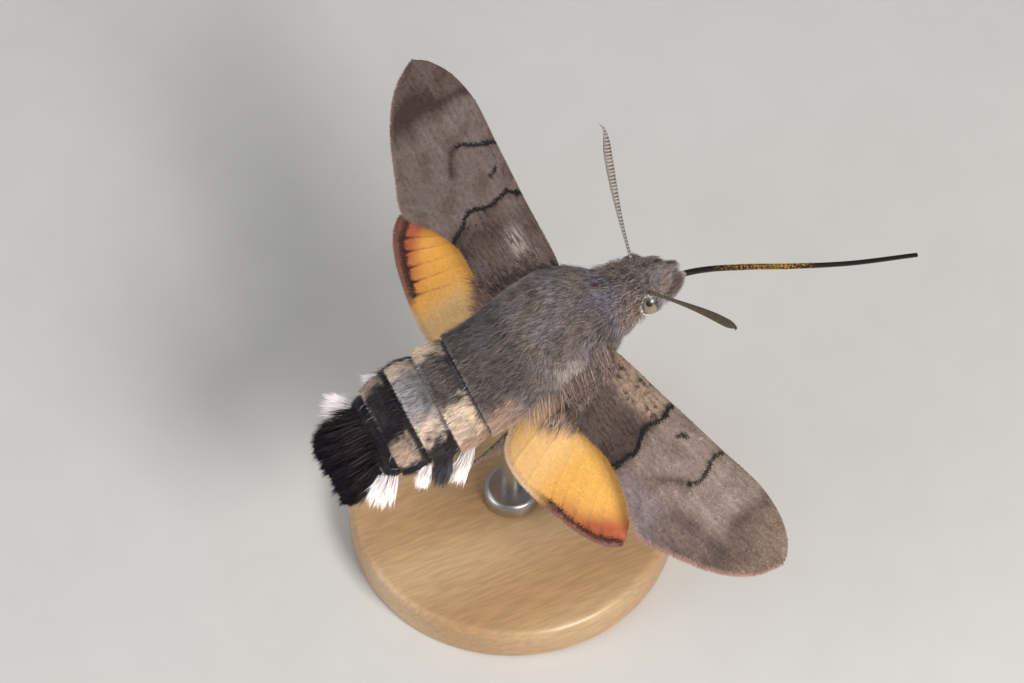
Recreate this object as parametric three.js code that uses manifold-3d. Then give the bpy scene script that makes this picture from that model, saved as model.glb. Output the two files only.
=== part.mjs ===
// A hummingbird hawk moth in hovering flight, life size, held up by a small display stand.
// Millimetres, +Z up. The moth faces -Y, its left side is +X, and the origin is the middle
// of the underside of the stand's base.
import * as THREE from 'three';
import { mergeVertices } from 'three/addons/utils/BufferGeometryUtils.js';
import Module from 'manifold-3d';

const wasm = await Module();
wasm.setup();

// How the moth is held
const pitch = THREE.MathUtils.degToRad(14.5);
const bank = THREE.MathUtils.degToRad(2.8);
const flightHeight = 22;
const middleAheadOfRod = 1.5;

// Clearance left wherever two pieces meet
const gap = 0.3;

// The least thickness of a wing, a leg or a feeler
const thin = 0.5;

// Body outline to the tips of the coat, from the snout back. Each row gives the place along
// the body, half the width, the height and depth from the middle, and the middle's height.
const headOutline = [
  { ahead: 11.3, half: 0.35, top: 0.3, under: 0.4, middle: 1.35 },
  { ahead: 10.9, half: 1.1, top: 0.85, under: 0.9, middle: 1.3 },
  { ahead: 10.1, half: 1.8, top: 1.6, under: 1.5, middle: 1.2 },
  { ahead: 9.1, half: 2.1, top: 2.05, under: 2.0, middle: 1.2 },
  { ahead: 8.0, half: 2.3, top: 2.2, under: 2.3, middle: 1.25 },
  { ahead: 7.0, half: 2.45, top: 2.35, under: 2.5, middle: 1.25 },
];
const thoraxOutline = [
  { ahead: 5.9, half: 3.2, top: 2.9, under: 3.2, middle: 1.3 },
  { ahead: 4.9, half: 3.9, top: 3.45, under: 3.7, middle: 1.35 },
  { ahead: 3.6, half: 4.25, top: 3.85, under: 4.0, middle: 1.3 },
  { ahead: 0, half: 4.35, top: 4.0, under: 4.15, middle: 0.9 },
];
const abdomenOutline = [
  { ahead: -3.2, half: 4.3, top: 3.6, under: 3.8, middle: 0.2 },
  { ahead: -7, half: 4.35, top: 3.3, under: 3.4, middle: 0 },
  { ahead: -11, half: 4.1, top: 2.8, under: 2.9, middle: 0 },
  { ahead: -12.3, half: 3.75, top: 2.45, under: 2.5, middle: -0.05 },
];
const fanOutline = [
  { ahead: -13.4, half: 3.3, top: 1.9, under: 2, middle: -0.3 },
  { ahead: -15, half: 3.25, top: 1.3, under: 1.4, middle: -0.8 },
  { ahead: -16.4, half: 3.15, top: 0.8, under: 0.9, middle: -1.3 },
  { ahead: -17.1, half: 2.2, top: 0.5, under: 0.55, middle: -1.5 },
  { ahead: -17.4, half: 1.1, top: 0.3, under: 0.35, middle: -1.6 },
];
const bodyOutline = [...headOutline, ...thoraxOutline, ...abdomenOutline, ...fanOutline];
const bodySides = 24;

// Where the body is parted, and how far each ring of the abdomen flares over the next
const snoutTip = headOutline[0].ahead;
const neck = 6.85;
const waist = -3.2;
const ringEnds = [waist, -5.1, -7.6, -9.8, -12.1, -13.4];
const ringFlare = 0.16;

// The tail end swings to the moth's right, beginning here
const swingStart = -10;
const swing = 0.4;
const fanTip = fanOutline.at(-1).ahead;

const eye = { ahead: 9.1, side: 1.38, up: 1.15, radius: 1.05 };

// Each forewing: its hinge on the thorax, and in degrees how far it is swept forward, raised
// and twisted with its rear edge down
const forewingHinge = { ahead: 3.6, side: 2.2, up: 1.2 };
const wingAttitude = {
  left: { forward: -2.5, raise: 4.5, twist: 19 },
  right: { forward: 14.6, raise: -8, twist: 20 },
};

// A wing rises along its length as an arch with a wave on it, and is cambered across
const wingArch = 0.38;
const wingWave = 0.65;
const wingCamber = 0.25;
const wingLength = 21.6;
const frontEdgeThickness = 0.8;

// The hindwing lies a millimetre under the forewing, a little to the moth's left. It is
// flatter, and each one is turned forward in its own plane by some degrees.
const hindwingDrop = { side: 0.5, up: -1.05 };
const hindwingBend = 0.5;
const hindwingTurn = { left: 2, right: -2 };

// Wing outlines: out from the hinge and back from it
const forewingFront = [
  [0, -0.6], [2.2, -1.4], [7.9, -1.85], [12.8, -1.95], [16.8, -2.05], [19.5, -1.5],
  [21, -0.65], [21.6, 0],
];
const forewingRear = [
  [0.6, 3], [4.2, 4.2], [7.2, 4.2], [9.8, 5.2], [12.4, 6.8], [15.4, 5.95], [18.6, 4.4],
  [20.7, 2.5], [21.65, 0.4],
];
const hindwingFront = [[0.2, 1.6], [4, 2.4], [8, 3.6], [11, 5.4], [12.4, 7.3]];
const hindwingRear = [
  [-0.2, 6], [0.4, 8.2], [1.5, 9.7], [3.8, 10.15], [7.3, 9.75], [10, 9.2], [11.6, 8.5],
  [12.4, 7.6],
];

const colours = {
  body: 0x6b645d,
  frontRings: 0x6e6459,
  rearRings: 0x241f26,
  fan: 0x1b181e,
  eye: 0x8d8371,
  feeler: 0x6a6150,
  tongue: 0x140f0e,
  leg: 0x3b342f,
  forewing: 0x7d6f66,
  hindwing: 0xe8a23c,
  wood: 0xd9b98a,
  steel: 0xb9bcc0,
};

// A place in the moth's own frame, given ahead of its middle, to its left and up
function place(ahead, side, up) {
  return new THREE.Vector3(side, -ahead, up);
}

function smoothCurve(points) {
  return new THREE.CatmullRomCurve3(points, false, 'centripetal');
}

// A closed body through a row of rings that all have the same number of points
function loft(rings) {
  const sides = rings[0].length;
  const points = rings.flat();
  const faces = [];
  for (let i = 0; i + 1 < rings.length; i += 1) {
    for (let j = 0; j < sides; j += 1) {
      const a = i * sides + j;
      const b = i * sides + ((j + 1) % sides);
      faces.push(a, b, b + sides, a, b + sides, a + sides);
    }
  }
  for (const end of [0, rings.length - 1]) {
    const middle = new THREE.Vector3();
    rings[end].forEach((point) => middle.addScaledVector(point, 1 / sides));
    points.push(middle);
    for (let j = 0; j < sides; j += 1) {
      const a = end * sides + j;
      const b = end * sides + ((j + 1) % sides);
      faces.push(...(end ? [a, b, points.length - 1] : [b, a, points.length - 1]));
    }
  }
  return facingOut(points, faces);
}

// The faces are turned round if they enclose a negative volume
function facingOut(points, faces) {
  let volume = 0;
  for (let i = 0; i < faces.length; i += 3) {
    const [a, b, c] = faces.slice(i, i + 3).map((k) => points[k]);
    volume += a.dot(b.clone().cross(c));
  }
  const geometry = new THREE.BufferGeometry().setFromPoints(points);
  geometry.setIndex(volume < 0 ? faces.reverse() : faces);
  return geometry;
}

// A rod of changing oval section along a curve. size(t) gives half its width and height.
function sweep(points, steps, sides, size, up = new THREE.Vector3(0, 0, 1)) {
  const curve = smoothCurve(points);
  const rings = [];
  for (let i = 0; i <= steps; i += 1) {
    const t = i / steps;
    const centre = curve.getPointAt(t);
    const across = curve.getTangentAt(t).cross(up).normalize();
    const over = across.clone().cross(curve.getTangentAt(t));
    const [wide, high] = size(t);
    const ring = [];
    for (let j = 0; j < sides; j += 1) {
      const angle = (2 * Math.PI * j) / sides;
      ring.push(centre.clone()
        .addScaledVector(across, wide * Math.cos(angle))
        .addScaledVector(over, high * Math.sin(angle)));
    }
    rings.push(ring);
  }
  return loft(rings);
}

// Boolean cuts
function solid(geometry) {
  const bare = geometry.clone();
  bare.deleteAttribute('normal');
  bare.deleteAttribute('uv');
  const merged = mergeVertices(bare, 1e-3);
  return new wasm.Manifold(new wasm.Mesh({
    numProp: 3,
    vertProperties: Float32Array.from(merged.attributes.position.array),
    triVerts: Uint32Array.from(merged.index.array),
  }));
}

function geometryOf(body) {
  const { vertProperties, triVerts } = body.getMesh();
  const geometry = new THREE.BufferGeometry();
  geometry.setAttribute('position', new THREE.BufferAttribute(vertProperties, 3));
  geometry.setIndex(new THREE.BufferAttribute(triVerts, 1));
  return geometry;
}

// What is left of a piece outside its neighbours, without any loose crumbs
function cutBy(geometry, neighbours) {
  const rest = neighbours.reduce((left, other) => left.subtract(solid(other)), solid(geometry));
  const lumps = rest.decompose().sort((a, b) => b.volume() - a.volume());
  return geometryOf(lumps[0]);
}

function joined(geometries) {
  const parts = geometries.map(solid);
  return geometryOf(parts.reduce((whole, part) => whole.add(part)));
}

// Body
const outlineCurve = new THREE.CubicInterpolant(
  bodyOutline.map((row) => -row.ahead),
  bodyOutline.flatMap((row) => [row.half, row.top, row.under, row.middle]),
  4,
);

function sideSwing(ahead) {
  return -swing * THREE.MathUtils.smoothstep(swingStart - ahead, 0, swingStart - fanTip);
}

function bodyRing(ahead, grow) {
  const [half, top, under, middle] = outlineCurve.evaluate(-ahead);
  const ring = [];
  for (let j = 0; j < bodySides; j += 1) {
    const angle = (2 * Math.PI * j) / bodySides;
    const rise = Math.sin(angle);
    const side = sideSwing(ahead) + (half + grow) * Math.cos(angle);
    ring.push(place(ahead, side, middle + rise * ((rise > 0 ? top : under) + grow)));
  }
  return ring;
}

// A length of the body. flare draws its front edge in under the piece before it.
function bodyLength(front, rear, steps, { grow = 0, flare = 0 } = {}) {
  const rings = [];
  for (let i = 0; i <= steps; i += 1) {
    const t = i / steps;
    const ahead = THREE.MathUtils.lerp(front + grow, rear - grow, t);
    rings.push(bodyRing(ahead, grow - flare * (1 - t) ** 2));
  }
  return loft(rings);
}

const wholeBody = bodyLength(snoutTip, fanTip, 27, { grow: gap });
const headCut = bodyLength(snoutTip, neck, 8, { grow: gap });

// Head and what it carries
function eyeball(side, grow = 0) {
  const geometry = new THREE.SphereGeometry(eye.radius + grow, 15, 8);
  const centre = place(eye.ahead, side * eye.side, eye.up);
  return geometry.translate(centre.x, centre.y, centre.z);
}

// A palp is a scaled brush that rises in front of the face. The two make the snout. Each is
// widest at its swell and rounds off to its tip.
const palpPath = [[9, 0.95, -0.5], [10.3, 0.95, -0.35], [11.2, 0.75, 0], [12, 0.48, 0.3]];
const palpTip = { wide: 0.18, high: 0.22 };
const palpSwell = { wide: 0.62, high: 0.75, at: 0.35, reach: 0.72 };

function palp(side, grow = 0) {
  const path = palpPath.map(([ahead, out, up]) => place(ahead, side * out, up));
  const size = (t) => {
    const swell = Math.sqrt(Math.max(0, 1 - ((t - palpSwell.at) / palpSwell.reach) ** 2));
    return ['wide', 'high'].map((way) => palpTip[way] + palpSwell[way] * swell + grow);
  };
  return sweep(path, 6, 9, size);
}

// The slit between the palps
const slit = { deep: 8, ahead: 11 };
const snoutSlit = new THREE.BoxGeometry(gap, slit.deep, slit.deep).translate(0, -slit.ahead, 0);

// The tongue leaves between the palps and reaches down and forward
const tonguePath = [
  place(10.8, 0, -0.2), place(12.1, 0, -0.6), place(13.8, 0, -1.8), place(16.5, 0, -4.6),
  place(19.8, 0, -8.4), place(23.6, 0, -12.4), place(28.2, 0, -16.4),
];
const tongueRadius = 0.28;

function tongue(grow = 0) {
  const size = (t) => Array(2).fill(THREE.MathUtils.lerp(tongueRadius, thin / 2, t) + grow);
  return sweep(tonguePath, 30, 8, size);
}

// The tongue is made in two lengths, parted here by cutting the other half away
const tonguePart = 17.5;
const tongueReach = 40;

function tongueHalf(isNear) {
  const otherHalf = new THREE.BoxGeometry(tongueReach, tongueReach, 2 * tongueReach);
  const shift = (isNear ? -1 : 1) * (tongueReach - gap) / 2 - tonguePart;
  return cutBy(tongue(), [otherHalf.translate(0, shift, 0), ...(isNear ? [headCut] : [])]);
}

// A feeler thickens to a club and ends in a small hook. Each reaches forward by its own
// amount, bows forward or back, and sags below the straight line to its tip.
const feelerRoot = { ahead: 9.35, side: 1.45, up: 2.35 };
const feelerReach = { side: 8.1, up: 4.75, sag: 0.8 };
const feelerForward = { left: { reach: 2.75, bow: -0.28 }, right: { reach: 4.1, bow: 0.55 } };
const feelerClub = { radius: 0.06, from: 0.25, to: 0.75 };
const feelerHook = { thinner: 0.06, from: 0.88, to: 1, way: { ahead: -0.15, side: 0.3, up: 0.45 } };

function feeler(sideName, side) {
  const { reach, bow } = feelerForward[sideName];
  const path = [-0.05, 0.2, 0.4, 0.6, 0.8, 0.98].map((t) => {
    const arc = Math.sin(Math.PI * t);
    return place(
      feelerRoot.ahead + reach * t + bow * arc,
      side * (feelerRoot.side + feelerReach.side * t),
      feelerRoot.up + feelerReach.up * t - feelerReach.sag * arc,
    );
  });
  const { way } = feelerHook;
  path.push(path.at(-1).clone().add(place(way.ahead, side * way.side, way.up)));
  const size = (t) => {
    const club = THREE.MathUtils.smoothstep(t, feelerClub.from, feelerClub.to);
    const hook = THREE.MathUtils.smoothstep(t, feelerHook.from, feelerHook.to);
    const radius = thin / 2 + feelerClub.radius * club - feelerHook.thinner * hook;
    return [radius, radius];
  };
  return sweep(path, 18, 6, size);
}

// Abdomen tufts: root, tip, widest half width and half height. Each bulges outward a little
// and is nearly as full at its root as in the middle.
const sideTufts = [
  { ring: 2, root: [-7.1, 3.2, -2.2], tip: [-9.2, 4.55, -3.35], wide: 0.55, high: 0.7 },
  { ring: 3, root: [-8.6, 3.3, -1.3], tip: [-10.4, 4.75, -2.1], wide: 0.5, high: 0.8 },
  { ring: 4, root: [-10.1, 3.3, -0.6], tip: [-11.8, 4.95, -1.1], wide: 0.55, high: 0.9 },
  { ring: 5, root: [-12.7, 2.4, -0.7], tip: [-14.8, 4.4, -0.95], wide: 0.85, high: 0.95 },
];

const tuftBulge = 0.2;
const tuftFullness = { root: 0.2, tip: 0.92 };
const tuftTip = { wide: 0.12, high: 0.15 };

function sideTuft({ root, tip, wide, high }, side) {
  const ends = [root, tip].map(([ahead, out, up]) => place(ahead, side * out, up));
  const middle = ends[0].clone().lerp(ends[1], 0.5).add(place(0, side * tuftBulge, 0));
  const size = (t) => {
    const turn = THREE.MathUtils.lerp(tuftFullness.root, tuftFullness.tip, t);
    const fullness = Math.sin(Math.PI * turn);
    return [Math.max(tuftTip.wide, wide * fullness), Math.max(tuftTip.high, high * fullness)];
  };
  return sweep([ends[0], middle, ends[1]], 5, 8, size);
}

// The tufts of the chosen rings, on both sides of the body
function tuftsOf(isChosen, grow = 0) {
  return sideTufts.filter((tuft) => isChosen(tuft.ring)).flatMap((tuft) => {
    const grown = { ...tuft, wide: tuft.wide + grow, high: tuft.high + grow };
    return [sideTuft(grown, 1), sideTuft(grown, -1)];
  });
}

// Wings: a plate between two edges, arched along its length and cambered across it
function wingFrame(sideName, side) {
  const { forward, raise, twist } = wingAttitude[sideName];
  const [f, r, w] = [forward, raise, twist].map(THREE.MathUtils.degToRad);
  const out = place(Math.sin(f) * Math.cos(r), side * Math.cos(f) * Math.cos(r), Math.sin(r));
  const level = place(-1, 0, 0);
  level.addScaledVector(out, -level.dot(out)).normalize();
  const above = out.clone().cross(level).multiplyScalar(side);
  const back = level.clone().multiplyScalar(Math.cos(w)).addScaledVector(above, -Math.sin(w));
  return { out, back, over: out.clone().cross(back).multiplyScalar(side) };
}

function turnedForward({ out, back, over }, degrees) {
  const angle = THREE.MathUtils.degToRad(degrees);
  return {
    out: out.clone().multiplyScalar(Math.cos(angle)).addScaledVector(back, -Math.sin(angle)),
    back: back.clone().multiplyScalar(Math.cos(angle)).addScaledVector(out, Math.sin(angle)),
    over,
  };
}

function edge(points) {
  return smoothCurve(points.map(([out, back]) => new THREE.Vector3(out, back, 0)));
}

function wing(front, rear, hinge, frame, steps, strips, bend = 1) {
  const [frontEdge, rearEdge] = [edge(front), edge(rear)];
  const rings = [];
  for (let i = 0; i <= steps; i += 1) {
    const upper = [];
    const lower = [];
    for (let j = 0; j <= strips; j += 1) {
      const t = j / strips;
      const at = frontEdge.getPointAt(i / steps).lerp(rearEdge.getPointAt(i / steps), t);
      const along = (Math.PI * at.x) / wingLength;
      const lift = wingCamber * Math.sin(Math.PI * t)
        + bend * (wingArch * Math.sin(along) + wingWave * Math.sin(2 * along));
      const thickness = THREE.MathUtils.lerp(frontEdgeThickness, thin, Math.min(1, 4 * t));
      const middle = hinge.clone().addScaledVector(frame.out, at.x)
        .addScaledVector(frame.back, at.y).addScaledVector(frame.over, lift);
      upper.push(middle.clone().addScaledVector(frame.over, thickness / 2));
      lower.push(middle.clone().addScaledVector(frame.over, -thickness / 2));
    }
    rings.push([...upper, ...lower.reverse()]);
  }
  return loft(rings);
}

function forewing(sideName, side) {
  const { ahead, side: out, up } = forewingHinge;
  const hinge = place(ahead, side * out, up);
  const plate = wing(forewingFront, forewingRear, hinge, wingFrame(sideName, side), 18, 6);
  return cutBy(plate, [wholeBody]);
}

function hindwing(sideName, side) {
  const { ahead, side: out, up } = forewingHinge;
  const hinge = place(ahead, side * out + hindwingDrop.side, up + hindwingDrop.up);
  const frame = turnedForward(wingFrame(sideName, side), hindwingTurn[sideName]);
  const plate = wing(hindwingFront, hindwingRear, hinge, frame, 14, 5, hindwingBend);
  return cutBy(plate, [wholeBody]);
}

// Legs are folded back under the body: the hip, knee, ankle and toe of each
const legPaths = {
  foreleg: [[5.2, 0.7, -1.6], [6.9, 0.75, -2.5], [4.6, 0.65, -3.4], [1.2, 0.6, -4.1]],
  midleg: [[2.6, 1.6, -2.3], [4.0, 2.3, -3.2], [0.2, 1.9, -4.1], [-4.2, 1.7, -4.5]],
  hindleg: [[-0.2, 2.0, -2.6], [-2.7, 2.9, -3.15], [-7.0, 3.8, -3.85], [-10, 3.2, -4.1]],
};
const hipRadius = 0.45;
const toeRadius = 0.26;

function leg(joints, side) {
  const path = joints.map(([ahead, out, up]) => place(ahead, side * out, up));
  const size = (t) => Array(2).fill(THREE.MathUtils.lerp(hipRadius, toeRadius, Math.sqrt(t)));
  return cutBy(sweep(path, 12, 6, size), [wholeBody, ...tuftsOf(() => true, gap)]);
}

// Stand
const base = { radius: 12, thickness: 3, bevel: 0.7, footEase: 0.3 };
const rodRadius = 0.8;
const rodSocket = 1.4;
const rodTop = flightHeight - 1.6;
const ferrule = { radius: 2.1, height: 1.2, slope: 0.5 };

function turned(profile, sides = 32) {
  return new THREE.LatheGeometry(profile.map(([r, z]) => new THREE.Vector2(r, z)), sides)
    .rotateX(Math.PI / 2);
}

function standBase() {
  const { radius, thickness, bevel, footEase } = base;
  const hole = rodRadius + gap;
  const rounded = [0, 30, 60, 90].map((degrees) => {
    const angle = THREE.MathUtils.degToRad(degrees);
    return [radius - bevel * (1 - Math.cos(angle)), thickness - bevel * (1 - Math.sin(angle))];
  });
  return turned([
    [0, 0], [radius - footEase, 0], [radius, footEase], ...rounded, [hole, thickness],
    [hole, thickness - rodSocket], [0, thickness - rodSocket],
  ]);
}

function standRod(grow = 0) {
  const bottom = base.thickness - rodSocket + gap;
  return turned([
    [0, bottom], [rodRadius + grow, bottom], [rodRadius + grow, rodTop + grow],
    [0, rodTop + grow],
  ], 16);
}

function standFerrule() {
  const inner = rodRadius + gap;
  const foot = base.thickness + gap;
  const { radius, height, slope } = ferrule;
  return turned([
    [inner, foot], [radius, foot], [radius, foot + height / 2],
    [radius - slope, foot + height], [inner, foot + height], [inner, foot],
  ], 24);
}

// Scene: the moth hangs level in its own group, then is pitched and banked above the base
const model = new THREE.Group();
const moth = new THREE.Group();
moth.rotation.set(-pitch, -bank, 0);
moth.position.set(0, -middleAheadOfRod, flightHeight);
moth.updateMatrixWorld(true);
model.add(moth);

function add(group, name, geometry, colour, roughness = 0.9, metalness = 0) {
  const material = new THREE.MeshStandardMaterial({ color: colour, roughness, metalness });
  const mesh = new THREE.Mesh(geometry, material);
  mesh.name = name;
  group.add(mesh);
}

const rodInMoth = standRod(gap).applyMatrix4(moth.matrixWorld.clone().invert());
const sides = { left: 1, right: -1 };

const headHollows = Object.values(sides).flatMap((side) => [eyeball(side, gap), palp(side, gap)]);
const headShape = bodyLength(snoutTip, neck + gap / 2, 8);
add(moth, 'head', cutBy(headShape, [...headHollows, tongue(gap)]), colours.body);
const thoraxShape = bodyLength(neck - gap / 2, waist + gap / 2, 9);
add(moth, 'thorax', cutBy(thoraxShape, [rodInMoth]), colours.body);

ringEnds.slice(1).forEach((rear, i) => {
  const number = i + 1;
  const ringShape = bodyLength(ringEnds[i] - gap / 2, rear + gap / 2, 2, { flare: ringFlare });
  const tufted = joined([ringShape, ...tuftsOf((ring) => ring === number)]);
  const neighbours = [rodInMoth, ...tuftsOf((ring) => ring < number, gap)];
  const colour = number < 3 ? colours.frontRings : colours.rearRings;
  add(moth, `abdomen_ring_${number}`, cutBy(tufted, neighbours), colour);
});
const fanShape = bodyLength(ringEnds.at(-1) - gap / 2, fanTip, 7);
add(moth, 'tail_fan', cutBy(fanShape, tuftsOf(() => true, gap)), colours.fan);

for (const [sideName, side] of Object.entries(sides)) {
  const besidePalp = [snoutSlit, tongue(gap), eyeball(side, gap)];
  add(moth, `eye_${sideName}`, eyeball(side), colours.eye, 0.25);
  add(moth, `palp_${sideName}`, cutBy(palp(side), besidePalp), colours.body);
  add(moth, `feeler_${sideName}`, cutBy(feeler(sideName, side), [headCut]), colours.feeler, 0.7);
  add(moth, `forewing_${sideName}`, forewing(sideName, side), colours.forewing);
  add(moth, `hindwing_${sideName}`, hindwing(sideName, side), colours.hindwing);
  for (const [legName, joints] of Object.entries(legPaths)) {
    add(moth, `${legName}_${sideName}`, leg(joints, side), colours.leg, 0.7);
  }
}
add(moth, 'tongue_near', tongueHalf(true), colours.tongue, 0.25);
add(moth, 'tongue_far', tongueHalf(false), colours.tongue, 0.25);

add(model, 'stand_base', standBase(), colours.wood, 0.5);
add(model, 'stand_rod', standRod(), colours.steel, 0.3, 1);
add(model, 'stand_ferrule', standFerrule(), colours.steel, 0.3, 1);

export default model;
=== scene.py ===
"""The looks of a hummingbird hawk moth in hovering flight, life size, over a small stand.

The moth's pieces are made in millimetres in its own frame: side (left is positive), behind
and up, as place() gives them. hung() turns and lifts them into the model's frame, in metres.
"""

import bpy
import numpy as np
from mathutils import Euler, Matrix, Vector


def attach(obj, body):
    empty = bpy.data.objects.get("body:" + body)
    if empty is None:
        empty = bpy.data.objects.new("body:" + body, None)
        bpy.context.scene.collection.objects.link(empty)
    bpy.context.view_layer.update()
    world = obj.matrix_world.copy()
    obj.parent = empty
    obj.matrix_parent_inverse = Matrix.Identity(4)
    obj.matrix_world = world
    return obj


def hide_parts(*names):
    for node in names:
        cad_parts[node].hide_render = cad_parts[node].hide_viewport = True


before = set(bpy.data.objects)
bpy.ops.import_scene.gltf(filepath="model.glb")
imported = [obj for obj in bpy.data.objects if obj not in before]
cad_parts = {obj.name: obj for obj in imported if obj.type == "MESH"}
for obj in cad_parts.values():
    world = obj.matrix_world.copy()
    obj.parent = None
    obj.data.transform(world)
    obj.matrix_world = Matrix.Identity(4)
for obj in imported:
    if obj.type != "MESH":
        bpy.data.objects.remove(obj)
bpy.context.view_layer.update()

# How the moth is held, as in the solids
PITCH = 14.5
BANK = 2.8
MIDDLE_AHEAD_OF_ROD = 1.5
FLIGHT_HEIGHT = 22
TURN = np.array(Euler(np.radians([-PITCH, -BANK, 0]), "YXZ").to_matrix())
HANG = np.array([0, -MIDDLE_AHEAD_OF_ROD, FLIGHT_HEIGHT])
MM = 0.001
SIDES = {"left": 1, "right": -1}

# The way from the moth to the camera, how far the middle of the picture is from the moth's
# middle to the picture's right and up, the camera's distance and the width of what it sees
CAMERA_AZIMUTH = -114.54
CAMERA_ELEVATION = 58
CAMERA_AIM = {"right": -1.379, "up": 0.679}
CAMERA_DISTANCE = 600
CAMERA_SENSOR = 36
FRAME_WIDTH = 73.143

# Body outline to the tips of the coat: ahead, half width, height and depth from the middle,
# and the middle's height
BODY_OUTLINE = np.array([
    [11.3, 0.35, 0.3, 0.4, 1.35], [10.9, 1.1, 0.85, 0.9, 1.3], [10.1, 1.8, 1.6, 1.5, 1.2],
    [9.1, 2.1, 2.05, 2.0, 1.2], [8.0, 2.3, 2.2, 2.3, 1.25], [7.0, 2.45, 2.35, 2.5, 1.25],
    [5.9, 3.2, 2.9, 3.2, 1.3], [4.9, 3.9, 3.45, 3.7, 1.35], [3.6, 4.25, 3.85, 4.0, 1.3],
    [0, 4.35, 4.0, 4.15, 0.9], [-3.2, 4.3, 3.6, 3.8, 0.2], [-7, 4.35, 3.3, 3.4, 0],
    [-11, 4.1, 2.8, 2.9, 0], [-12.3, 3.75, 2.45, 2.5, -0.05], [-13.4, 3.3, 1.9, 2, -0.3],
    [-15, 3.25, 1.3, 1.4, -0.8], [-16.4, 3.15, 0.8, 0.9, -1.3], [-17.1, 2.2, 0.5, 0.55, -1.5],
    [-17.4, 1.1, 0.3, 0.35, -1.6],
])
NECK = 6.85
RING_ENDS = np.array([-3.2, -5.1, -7.6, -9.8, -12.1, -13.4])
SNOUT_TIP = BODY_OUTLINE[0, 0]
WAIST = RING_ENDS[0]
FAN_TIP = BODY_OUTLINE[-1, 0]
# The end of the body swings to the right from here back, by this much at its tip
SWING_START = -10
SWING = 0.4

# Depth of the coat over the skin, by place along the body, and how much deeper the skin lies
# where one ring runs in under the one before it
COAT_DEPTH = np.array([
    [11.3, 0.1], [10.4, 0.22], [9, 0.3], [7, 0.32], [5, 0.24], [0, 0.24], [-3.2, 0.22],
    [-9, 0.2], [-12.3, 0.24], [-14, 0.45], [-17.4, 0.6],
])
RING_STEP = 0.22

# How many tufts grow in each loose brush or coat, and how densely the wings are scaled
TUFTS = {"tail_fan": 10000, "side_brush": 460, "palp": 6000, "eye_lid": 6500,
         "wing_fringe": 2600, "wing_root": 2200, "leg": 2600}
SCALES_PER_MM2 = {"upper": 150, "under": 45}

EYE = {"ahead": 9.1, "side": 1.38, "up": 1.15, "radius": 1.05}
# The way out of the middle of the bare cornea, as ahead, out and up, and the cornea's half
# width and half height
CORNEA_WAY = [-0.27, 1.02, 0.37]
CORNEA = {"width": 0.49, "height": 0.8}
# Size and soft edge of the painted false pupil, the dark spot the facets show towards the camera
FALSE_PUPIL = {"size": 0.26, "soft": 0.05}

# The palps lie a little closer together and slimmer than their solids, which hold the coat
PALP_PATH = [[9, 0.85, -0.5], [10.3, 0.85, -0.35], [11.2, 0.66, 0], [12, 0.42, 0.3]]
PALP_COAT = 0.24

TONGUE_PATH = [
    [10.8, 0, -0.2], [12.1, 0, -0.6], [13.8, 0, -1.8], [16.5, 0, -4.6], [19.8, 0, -8.4],
    [23.6, 0, -12.4], [28.2, 0, -16.4],
]
TONGUE_RADIUS = {"root": 0.225, "tip": 0.16}
POLLEN_GRAINS = 620

FEELER_ROOT = {"ahead": 9.35, "side": 1.45, "up": 2.35}
FEELER_REACH = {"side": 8.1, "up": 4.75, "sag": 0.8}
FEELER_FORWARD = {
    "left": {"reach": 2.75, "bow": -0.28},
    "right": {"reach": 4.1, "bow": 0.55},
}
FEELER_RADIUS = {"root": 0.12, "club": 0.31}
FEELER_JOINTS = 42
FEELER_GROOVE_DEPTH = 0.018
FEELER_DUST = {"left": 0.9, "right": 0.08}

# Brushes along the abdomen's sides: ring, root, tip, half width and half height
SIDE_BRUSHES = [
    {"ring": 2, "root": [-7.1, 3.2, -2.2], "tip": [-9.2, 4.55, -3.35], "size": [0.5, 0.6]},
    {"ring": 3, "root": [-8.6, 3.3, -1.3], "tip": [-10.4, 4.75, -2.1], "size": [0.5, 0.8]},
    {"ring": 4, "root": [-10.2, 3.4, -0.7], "tip": [-11.5, 4.7, -1.05], "size": [0.32, 0.5]},
    {"ring": 5, "root": [-12.7, 2.4, -0.7], "tip": [-14.8, 4.4, -0.95], "size": [0.75, 0.8]},
]

# Wings, in their own planes: out from the hinge and back from it
WINGS = {
    "left": {"forward": -2.5, "raise": 4.5, "twist": 19, "hind_turn": 2},
    "right": {"forward": 14.6, "raise": -8, "twist": 20, "hind_turn": -2},
}
HINGE = {"ahead": 3.6, "side": 2.2, "up": 1.2}
HIND_HINGE_SHIFT = np.array([0.5, 0, -1.05])
WING_LENGTH = 21.6
# How high a wing swells across its width, arches and waves along its length, and rises along
# its veins. A hindwing takes only a share of the arch and the wave.
CAMBER = 0.25
ARCH = 0.38
WAVE = 0.65
BEND_SHARE = {"forewing": 1, "hindwing": 0.5}
PLEAT = {"forewing": 0.05, "hindwing": 0.025}
EDGES = {
    "forewing": {
        "front": [[0, -0.6], [2.2, -1.4], [7.9, -1.85], [12.8, -1.95], [16.8, -2.05],
                  [19.5, -1.5], [21, -0.65], [21.6, 0]],
        "rear": [[0.6, 3], [4.2, 4.2], [7.2, 4.2], [9.8, 5.2], [12.4, 6.8], [15.4, 5.95],
                 [18.6, 4.4], [20.7, 2.5], [21.65, 0.4]],
    },
    "hindwing": {
        "front": [[0.2, 1.6], [4, 2.4], [8, 3.6], [11, 5.4], [12.4, 7.3]],
        "rear": [[-0.2, 6], [0.4, 8.2], [1.5, 9.7], [3.8, 10.15], [7.3, 9.75], [10, 9.2],
                 [11.6, 8.5], [12.4, 7.6]],
    },
}
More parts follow.
